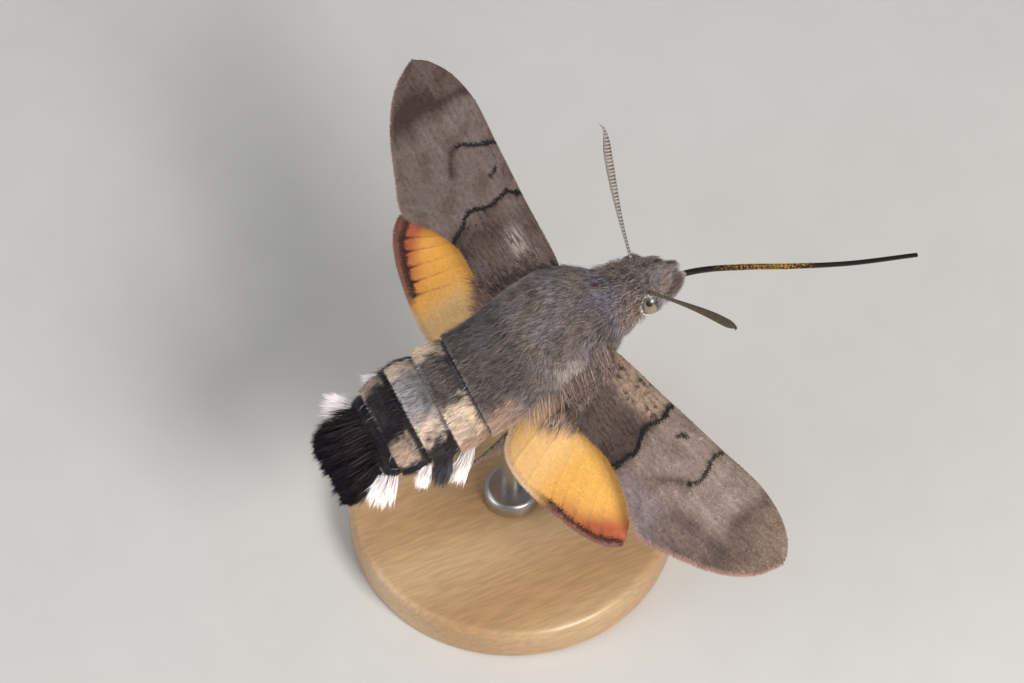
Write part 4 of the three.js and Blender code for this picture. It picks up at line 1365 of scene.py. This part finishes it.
def forewing_marks(side_name, plan, under):
    """How much of each colour a place on a forewing carries, from 0 to 1."""
    out, back = plan[..., 0], plan[..., 1]
    left = side_name == "left"
    soft = ripple(plan, 1.3, "forewing soft")
    fine = ripple(plan, 0.28, "forewing fine")
    rough = plan + 0.03 * np.stack([fine, ripple(plan, 0.3, "forewing rough")], -1)
    first = off_path(rough, ANTEMEDIAL[side_name])
    second = off_path(rough, POSTMEDIAL[side_name])
    fading = off_path(rough, POSTMEDIAL_END[side_name])
    spot = off_path(rough, WING_SPOT[side_name])
    shade = off_path(rough, OUTER_SHADE[side_name])
    margin = off_path(plan, along_curve(EDGES["forewing"]["rear"], np.linspace(0.35, 1, 40)))
    flecked = np.min([np.linalg.norm(plan - at, axis=-1) for at in BASE_FLECKS], axis=0)
    veins = np.min([off_path(plan, vein) for vein in VEINS["forewing"]], axis=0)
    past_first = smoothstep(7.6, 8.8, out + 0.3 * fine)
    streaks = ripple(plan * [0.14, 1], 0.13, "streak")
    marks = {}
    marks["pale"] = np.clip(
        0.6 * past_first * (1 - smoothstep(16.2, 17.6, out)) * (0.8 + 0.2 * soft)
        + 0.25 * near(veins, 0.12, 0.1) * past_first, 0, 1)
    if left:
        marks["tan"] = 0.15 * smoothstep(17.5, 20, out)
        streak = band(back + 0.12 * (out - 4.5), -0.35, 0.85, 0.4) * band(out, 3.0, 5.8, 0.9)
        marks["white"] = 0.5 * streak * smoothstep(-1, 1, streaks) * (1 - 0.35 * under)
        marks["blue"] = 0.3 * smoothstep(-0.3, 1, soft)
        front_base = np.zeros_like(out)
    else:
        front_base = band(out, 1.5, 7.8, 0.5) * near(back, 0.4 + 0.4 * soft, 0.5)
        marks["tan"] = np.clip(0.9 * front_base + 0.4 * smoothstep(17.3, 19.5, out), 0, 1)
        marks["white"] = 0.12 * band(out, 13.3, 16.2, 0.6) * band(back, -0.6, 2.6, 0.9)
        marks["blue"] = 0.5 * band(out, 8.6, 13, 0.6) * smoothstep(3.2, 4.8, back)
    marks["under"] = under * (0.85 - 0.35 * smoothstep(15, 20, out))
    before = band(out, 6.4, 8.2, 0.9) * smoothstep(-0.4, 1.4, back + 0.5 * (out - 7.5))
    # dark is the wing's own dark bands and flecks, and on the left wing also painted shade, laid
    # over the whole wing past the first line and deepening towards the tip.
    marks["dark"] = np.clip(
        0.5 * before + (0.55 if left else 0.4) * near(shade, 0.2, 0.45)
        + 0.4 * near(first, 0.5, 0.4) * near(out, 8.2, 0.4)
        + (0.35 if left else 0.15) * band(out, 17.6, 19.3, 0.7) * (back > 0.3)
        + 0.3 * near(fading, 0.3, 0.3)
        + near(out, 7.2, 1.2) * (0.42 if left else 0.35 * smoothstep(0.2, 1.4, back))
        + 0.3 * near(out, 7.4, 0.8) * smoothstep(0, 1, streaks)
        + (0.34 * past_first + 0.25 * smoothstep(16, 18.5, out) if left else 0.08)
        + 0.15 * smoothstep(0.3, 1.2, -soft)
        + (0 if left else 0.3 * band(out, 12.5, 18.5, 0.8) * smoothstep(2.2, 3.6, back))
        + 0.2 * smoothstep(0.7, 1.3, fine)
        + 0.3 * near(off_path(rough, [[9.5, -1.4], [15.7, -1.5]]), 0.06, 0.06), 0, 1)
    marks["dark"] = marks["dark"] * (1 - 0.7 * under)
    specks = front_base * near(flecked, 0.65, 0.3) * smoothstep(0.1, 0.5, fine)
    marks["black"] = np.clip(
        near(first, 0.19, 0.08) + 0.95 * near(second, 0.17, 0.09) + 0.45 * near(fading, 0.1, 0.14)
        + 0.95 * near(spot, 0.15, 0.08) + 0.75 * specks, 0, 1) * (1 - 0.85 * under)
    marks["pink"] = (0.2 if left else 0.6) * near(margin, 0.28, 0.1) * smoothstep(8, 13, out)
    return marks


def hindwing_marks(side_name, plan, under):
    """How much of each colour a place on a hindwing carries, from 0 to 1."""
    out, back = plan[..., 0], plan[..., 1]
    left = side_name == "left"
    fine = ripple(plan, 0.3, "hindwing fine")
    line = np.array(HIND_BORDER[side_name])[::-1]
    border = off_path(plan, line)
    outside = smoothstep(-0.05, 0.1, back - np.interp(out, line[:, 0], line[:, 1]))
    outside = np.where(out > line[0, 0] - 0.6, outside, 0)
    veins = np.min([off_path(plan, vein) for vein in VEINS["hindwing"][:5]], axis=0)
    margin = off_path(plan, along_curve(EDGES["hindwing"]["rear"], np.linspace(0.05, 1, 60)))
    spikes = near(veins, 0.05 + 0.12 * near(border, 0.5, 0.5), 0.07) * near(border, 0.9, 0.5)
    ends_at = smoothstep(5.2, 7, out)
    marks = {}
    anal = smoothstep(3.5, 6.5, back) if left else 1
    marks["pale"] = (0.85 if left else 0.6) * near(out + 0.1 * fine, 4.9, 1.5) * anal
    marks["gold"] = (0.6 if left else 0.12) * (1 - marks["pale"])
    glow = near(border, 1.0, 1.0) * smoothstep(5.5, 8.5, out)
    vein_lines = 0.6 * near(veins, 0.02, 0.08) * near(border, 2.8, 1.2) if left else 0
    marks["red"] = np.clip(
        0.9 * glow + 0.55 * near(border, 2.1, 1.0) * smoothstep(8.5, 10.5, out)
        + 0.35 * under * smoothstep(4, 9, out) + vein_lines, 0, 1)
    dark_line = near(border, 0.28, 0.14) * (ends_at if left else smoothstep(4.4, 7, out))
    marks["black"] = np.clip(
        0.95 * dark_line + (0.85 if left else 0.3) * spikes * ends_at + 0.5 * vein_lines
        + (0.6 * outside * ends_at if left else 0), 0, 1) * (1 - 0.6 * under)
    marks["pink"] = np.clip(outside * ends_at * (0.4 if left else 0.9)
                            + 0.3 * near(margin, 0.4, 0.15), 0, 1) * (1 - 0.7 * dark_line)
    marks["white"] = 0.5 * near(margin, 0.25, 0.12) * near(out, 5.2, 1)
    hairy = [[1.6, 3], [2.4, 4.6]] if left else [[1.2, 2.4], [2.0, 5.1]]
    marks["hair"] = (0.5 if left else 0.85) * near(off_path(plan, hairy) + 0.15 * fine, 1.2, 1.0)
    marks["hair"] = marks["hair"] * (1 - 0.8 * under)
    return marks


# Long hair at each wing's root: how far out and back from the hinge it starts, how much
# further forward it stops for each millimetre out, how far it reaches, the way it runs and
# its colours
ROOT_HAIR = {
    ("forewing", "left"): {
        "out": (1.6, 3.4), "back": (-0.9, 4.0), "taper": 0, "reach": (0.3, 1.0),
        "way": (1, 0.25),
        "tones": {"black": (0.15, 0.7), "tan": (0, 0.5)}},
    ("forewing", "right"): {
        "out": (1.4, 3.0), "back": (-1.0, 3.6), "taper": 0, "reach": (0.3, 1.0),
        "way": (1, 0.35),
        "tones": {"black": (0.1, 0.5), "tan": (0.1, 0.5)}},
    ("hindwing", "left"): {
        "out": (1.8, 4.2), "back": (2.6, 5.8), "taper": 0.5, "reach": (0.3, 1.6),
        "way": (1, 0.8),
        "tones": {"rust": (0, 0.2), "black": (0, 0.4), "tan": (0.4, 0.9)}},
    ("hindwing", "right"): {
        "out": (1.2, 4.6), "back": (2.2, 6.4), "taper": 0.8, "reach": (0.3, 1.8),
        "way": (0.25, 1),
        "tones": {"blue": (0, 0.5), "tan": (0.3, 0.8), "rust": (0, 0.3), "white": (0, 0.15)}},
}
WING_MARKS = {"forewing": forewing_marks, "hindwing": hindwing_marks}
WING_DUST = {"forewing": forewing_dust, "hindwing": hindwing_dust}


def plan_map(kind, plan):
    """A wing's unwrap: its plane, fitted into the square."""
    corners = np.concatenate([EDGES[kind]["front"], EDGES[kind]["rear"]])
    low = corners.min(0) - 0.5
    return (plan - low) / (corners.max(0) + 0.5 - low).max()


def wing_blade(side_name, kind):
    """The wing itself: a veined film in one closed piece."""
    steps, strips = BLADE_GRID[kind]
    s, t = np.meshgrid(np.linspace(0, 1, steps + 1), np.linspace(0, 1, strips + 1),
                       indexing="ij")
    plan = wing_plan(kind, s, t)
    depth = blade_depth(kind, plan)
    upper = on_wing(side_name, kind, plan, t, depth)
    lower = on_wing(side_name, kind, plan, t, -depth)
    points, faces = closed_skin(np.concatenate([upper, lower[:, ::-1]], 1))
    both = np.concatenate([plan, plan[:, ::-1]], 1)
    under = np.concatenate([np.zeros_like(t), np.ones_like(t)], 1).ravel()
    flat = np.concatenate([both.reshape(-1, 2), both[[0, -1]].mean(1)])
    under = np.append(under, [0, 0])
    marks = WING_MARKS[kind](side_name, flat, under)
    marks["shade"] = np.clip(0.35 * ripple(flat, 0.4, "film"), -1, 1)
    marks["tip"] = np.full(len(flat), 0.5)
    piece(f"{kind}_blade_{side_name}", hung(points), faces, WING_DUST[kind],
          [f"{kind}_{side_name}"], numbers=marks)


def strewn(kind, per_mm2, rng):
    """Places strewn evenly over a wing, as shares of its length and width."""
    steps, strips = 120, 60
    s, t = np.meshgrid(np.linspace(0, 1, steps + 1), np.linspace(0, 1, strips + 1),
                       indexing="ij")
    plan = wing_plan(kind, s, t)
    run = (plan[1:] - plan[:-1])[:, :-1]
    rise = (plan[:, 1:] - plan[:, :-1])[:-1]
    area = np.abs(run[..., 0] * rise[..., 1] - run[..., 1] * rise[..., 0]).ravel()
    count = int(area.sum() * per_mm2)
    cell = rng.choice(area.size, count, p=area / area.sum())
    return ((cell // strips + rng.uniform(size=count)) / steps,
            (cell % strips + rng.uniform(size=count)) / strips)


def wing_scales(side_name, kind, which):
    """Flat scales like roof tiles, wide at their free ends, on the upper or under face of a
    wing."""
    name = f"{kind}_{which}_scales_{side_name}"
    rng = dice(name)
    s, t = strewn(kind, SCALES_PER_MM2[which], rng)
    plan = wing_plan(kind, s, t)
    count = len(plan)
    way = unit(growth(kind, s, t) + rng.normal(0, 0.09, plan.shape))
    length = rng.uniform(0.13, 0.21, count)[:, None]
    face = -1 if which == "under" else 1
    depth = blade_depth(kind, plan)
    lift = rng.uniform(0.01, 0.025, count)
    root = on_wing(side_name, kind, plan, t, face * (depth - 0.008))
    free = on_wing(side_name, kind, plan + way * length, t, face * (depth + lift))
    over = np.broadcast_to(wing_frame(side_name, kind)[3] * face, root.shape)
    marks = WING_MARKS[kind](side_name, plan + rng.normal(0, 0.01, plan.shape),
                             np.full(count, float(which == "under")))
    streaks = ripple(plan * [0.2, 1], 0.2, "wing streaks")
    marks["shade"] = np.clip(rng.normal(0, 0.3, count) + 0.25 * streaks, -1, 1)
    tuft_piece(name, free, None, root, over, rng.uniform(0.07, 0.11, count), marks,
               plan_map(kind, plan), WING_DUST[kind], thick=0.08)


def wing_fringe(side_name, kind):
    """Long narrow scales round the outer and rear edges of a wing."""
    name = f"{kind}_fringe_{side_name}"
    rng = dice(name)
    count = TUFTS["wing_fringe"]
    s = rng.uniform(0.02, 0.995, count)
    t = np.ones(count)
    plan = wing_plan(kind, s, t)
    run = unit(wing_plan(kind, np.minimum(s + 0.01, 1), t) - wing_plan(kind, s - 0.01, t))
    away = np.stack([-run[:, 1], run[:, 0]], -1)
    way = unit(away + 0.2 * growth(kind, s, t) + rng.normal(0, 0.1, plan.shape))
    length = (rng.uniform(0.8, 1.1, count) * FRINGE[kind])[:, None]
    root = on_wing(side_name, kind, plan - way * 0.06, t, rng.uniform(-0.02, 0.02, count))
    tip = on_wing(side_name, kind, plan + way * length, t, rng.normal(0, 0.03, count))
    over = np.broadcast_to(wing_frame(side_name, kind)[3], root.shape)
    marks = WING_MARKS[kind](side_name, plan + away * 0.2, np.zeros(count))
    marks["shade"] = np.clip(rng.normal(0, 0.4, count), -1, 1)
    tuft_piece(name, root, None, tip, over, rng.uniform(0.05, 0.09, count), marks,
               plan_map(kind, plan), WING_DUST[kind], thick=0.25)


def share_across(kind, plan):
    """How far from a wing's front edge to its rear one places in its plane are, from 0 to 1."""
    front, rear = (np.interp(plan[..., 0], *np.array(EDGES[kind][edge]).T)
                   for edge in ("front", "rear"))
    return np.clip((plan[..., 1] - front) / (rear - front), 0, 1)


def wing_root_hair(side_name, kind):
    """Silky hair that leaves the body's side and thins out over the root of a wing."""
    name = f"{kind}_root_hair_{side_name}"
    rng = dice(name)
    side = SIDES[side_name]
    grown = ROOT_HAIR[kind, side_name]
    hinge, out, back, over = wing_frame(side_name, kind)
    count = TUFTS["wing_root"]
    near_body, far = grown["out"]
    front, rear = grown["back"]
    start = np.stack([near_body + (far - near_body) * rng.uniform(0, 1, count) ** 1.6,
                      front + (rear - front) * rng.uniform(0, 1, count) ** 1.3], -1)
    start[:, 1] -= grown["taper"] * (start[:, 0] - near_body)
    below = hinge + start[:, :1] * out + start[:, 1:] * back
    ahead = -below[:, 1]
    share = np.abs(below[:, 0]) / outline(ahead)[0]
    on_side = on_body(ahead, side * np.arcsin(np.clip(share, 0, 0.98)), rise=-0.03)
    on_film = on_wing(side_name, kind, start, share_across(kind, start),
                      blade_depth(kind, start) - 0.03)
    root = np.where(share[:, None] < 1, on_side, on_film)
    way = unit(np.array(grown["way"]) + rng.normal(0, 0.25, (count, 2)))
    shortest, longest = grown["reach"]
    share_of_reach = rng.uniform(0, 1, count) ** 2
    end = start + way * (shortest + (longest - shortest) * share_of_reach)[:, None]
    tip = on_wing(side_name, kind, end, share_across(kind, end),
                  blade_depth(kind, end) + rng.uniform(0.02, 0.12, count))
    middle = root * 0.5 + tip * 0.5 + over * rng.uniform(0.04, 0.14, (count, 1))
    tones = {mark: rng.uniform(*span, count) for mark, span in grown["tones"].items()}
    marks = plain_marks(count, **tones)
    if kind == "hindwing":
        far_back = smoothstep(5.2, 6.8, end[:, 1])
        marks["gold"] = far_back * rng.uniform(0.1, 0.9, count)
    marks["shade"] = np.clip(rng.normal(0, 0.35, count) + 0.25 * ripple(end, 0.3, name), -1, 1)
    tuft_piece(name, root, middle, tip, np.broadcast_to(over, root.shape),
               rng.uniform(0.03, 0.06, count), marks, plan_map(kind, end),
               coat_hair)


def wings():
    """The four wings, each a film with scales on both faces, a fringe and hair at its root."""
    for side_name in SIDES:
        for kind in EDGES:
            wing_blade(side_name, kind)
            wing_scales(side_name, kind, "upper")
            wing_scales(side_name, kind, "under")
            wing_fringe(side_name, kind)
            wing_root_hair(side_name, kind)


# Legs


def leg_radius(t, _):
    """Thick thigh, slimmer shin and a thin foot in five joints, with a waist at each joint."""
    size = np.interp(t, [0, 0.12, 0.3, 0.36, 0.5, 0.64, 0.68, 1],
                     [0.34, 0.36, 0.3, 0.22, 0.24, 0.2, 0.13, 0.1])
    foot = smoothstep(0.66, 0.7, t)
    joint = np.abs(((t - FOOT["start"]) / FOOT["joint"]) % 1 - 0.5) * 2
    size = size * (1 - 0.25 * foot * smoothstep(0.6, 1, joint))
    return size, size


def spike(start, way, bend, length, width):
    """A short curved spike, such as a claw or a spur."""
    path = [start, start + way * length * 0.5 + bend * 0.4, start + way * length + bend]

    def radius(t, _):
        size = width * (1.05 - t)
        return size, size

    return closed_skin(rod(path, radius, 8, 8))


def leg(kind, rows, side_name, side):
    """A folded leg with claws, a coat of short scales and, unless it is a foreleg, spurs."""
    path = places(rows, side)
    parts = [closed_skin(rod(path, leg_radius, 150, 18))]
    centre, way, across, over = rod_frame(path, np.array([FOOT["spurs"], 1.0]))
    heel, tip = centre
    heel_way, tip_way = way
    heel_across, tip_across = across
    for turn in (-1, 1):
        bend = tip_across * turn * 0.1 - over[1] * 0.08
        parts.append(spike(tip - tip_way * 0.08, tip_way, bend, CLAW["length"], CLAW["radius"]))
        if kind != "foreleg":
            aside = heel_across * turn * 0.12
            parts.append(spike(heel + aside, heel_way, aside, SPUR["length"], SPUR["radius"]))
    points, faces = joined(parts)
    piece(f"{kind}_limb_{side_name}", hung(points), faces, leg_chitin,
          [f"{kind}_{side_name}"])
    rod_coat(f"{kind}_coat_{side_name}", path, leg_radius, TUFTS["leg"], (0.14, 0.3),
             (0.04, 0.065), (6, 26), (0.02, 0.97), {"tan": 0.25, "black": 0.2})


def legs():
    """All six legs."""
    for kind, rows in LEGS.items():
        for side_name, side in SIDES.items():
            leg(kind, rows, side_name, side)


# Stand


def lathed(name, profile, material, node):
    """A piece turned round the stand's upright axis from rows of radius and height."""
    turn = np.linspace(0, 2 * np.pi, 160, endpoint=False)
    rings = np.array([[[r * np.cos(a), r * np.sin(a), z] for a in turn] for r, z in profile])
    points, faces = closed_skin(rings)
    made = piece(name, points * MM, faces, material, [node])
    made.data.set_sharp_from_angle(angle=np.radians(35))


def rounded(radius, height, bevel, steps=8):
    """A quarter round at the top of a disc."""
    turn = np.linspace(0, np.pi / 2, steps + 1)
    return [[radius - bevel + bevel * np.cos(a), height - bevel + bevel * np.sin(a)] for a in turn]


def stand():
    """A turned wooden base with a steel rod up into the moth and a collar at its foot."""
    well = ROD["radius"] + ROD["gap"]
    floor_of_well = BASE["thickness"] - BASE["socket"]
    rod_foot = floor_of_well + ROD["gap"]
    lathed("stand_base_turned", [
        [0.01, 0], [BASE["radius"] - BASE["foot"], 0], [BASE["radius"], BASE["foot"]],
        *rounded(BASE["radius"], BASE["thickness"], BASE["bevel"]),
        [well, BASE["thickness"]], [well, floor_of_well], [0.01, floor_of_well],
    ], maple, "stand_base")
    lathed("stand_rod_turned", [
        [0.01, rod_foot], [ROD["radius"], rod_foot],
        *[[ROD["radius"], z] for z in np.linspace(4, ROD["top"] - 0.5, 12)],
        [ROD["radius"], ROD["top"]], [0.01, ROD["top"]],
    ], steel, "stand_rod")
    low = BASE["thickness"] + FERRULE["gap"]
    top = low + FERRULE["height"]
    lathed("stand_ferrule_turned", [
        [well, low], [FERRULE["radius"], low],
        *rounded(FERRULE["radius"], top, FERRULE["slope"]), [well, top],
    ], steel, "stand_ferrule")


# Camera, lights and floor


def camera_axes():
    """The picture's right and up, and the way to the camera."""
    azimuth, elevation = np.radians([CAMERA_AZIMUTH, CAMERA_ELEVATION])
    to_camera = np.array([np.sin(azimuth) * np.cos(elevation),
                          -np.cos(azimuth) * np.cos(elevation), np.sin(elevation)])
    right = unit(np.cross([0, 0, 1], to_camera))
    return right, np.cross(to_camera, right), to_camera


def camera():
    """A far camera with a long lens, looking down from behind the moth's right shoulder."""
    right, up, to_camera = camera_axes()
    aim = HANG + CAMERA_AIM["right"] * right + CAMERA_AIM["up"] * up
    made = bpy.data.objects.new("camera", bpy.data.cameras.new("camera"))
    bpy.context.scene.collection.objects.link(made)
    made.data.sensor_width = CAMERA_SENSOR
    made.data.lens = CAMERA_SENSOR * CAMERA_DISTANCE / FRAME_WIDTH
    made.data.clip_start = 0.01
    turn = Matrix(np.stack([right, up, to_camera], 1).tolist()).to_4x4()
    made.matrix_world = Matrix.Translation((aim + to_camera * CAMERA_DISTANCE) * MM) @ turn
    bpy.context.scene.camera = made


def softbox(name, way, distance, size, power, colour):
    """A square light that shines on the moth from far off along way."""
    light = bpy.data.lights.new(name, "AREA")
    light.size = size
    light.energy = power
    light.color = linear(colour)[:3]
    made = bpy.data.objects.new(name, light)
    bpy.context.scene.collection.objects.link(made)
    way = Vector(way).normalized()
    made.location = Vector(HANG * MM) + way * distance
    made.rotation_euler = way.to_track_quat("Z", "Y").to_euler()


def studio():
    """A soft key light from the moth's right, a weak fill and a rim, over a pale floor."""
    right, up, to_camera = camera_axes()
    softbox("key", to_camera + 0.55 * right - 0.2 * up, distance=0.25, size=0.1, power=0.58,
            colour="fffaf5")
    softbox("fill", to_camera - 0.9 * right + 0.5 * up, distance=0.4, size=0.3, power=0.26,
            colour="f4f6ff")
    softbox("rim", (0.1, 1, 0.45), distance=0.4, size=0.2, power=0.3, colour="ffffff")
    world = bpy.data.worlds.new("studio")
    world.use_nodes = True
    background = world.node_tree.nodes["Background"]
    background.inputs["Color"].default_value = linear("eceef0")
    background.inputs["Strength"].default_value = 0.32
    bpy.context.scene.world = world
    bpy.context.scene.view_settings.view_transform = "Standard"
    half = 0.6
    corners = np.array([[-half, -half, 0], [half, -half, 0], [half, half, 0], [-half, half, 0]])
    floor = shown("floor", mesh_of("floor", corners, np.array([[0, 1, 2], [0, 2, 3]])))
    floor.data.materials.append(painted_board)


camera()
studio()
body_skin()
coats()
tail_fan()
for make in (side_brushes, palp_coat, eye, eye_lid, feeler):
    for side_name, side in SIDES.items():
        make(side_name, side)
tongue()
tongue_dust()
wings()
legs()
stand()
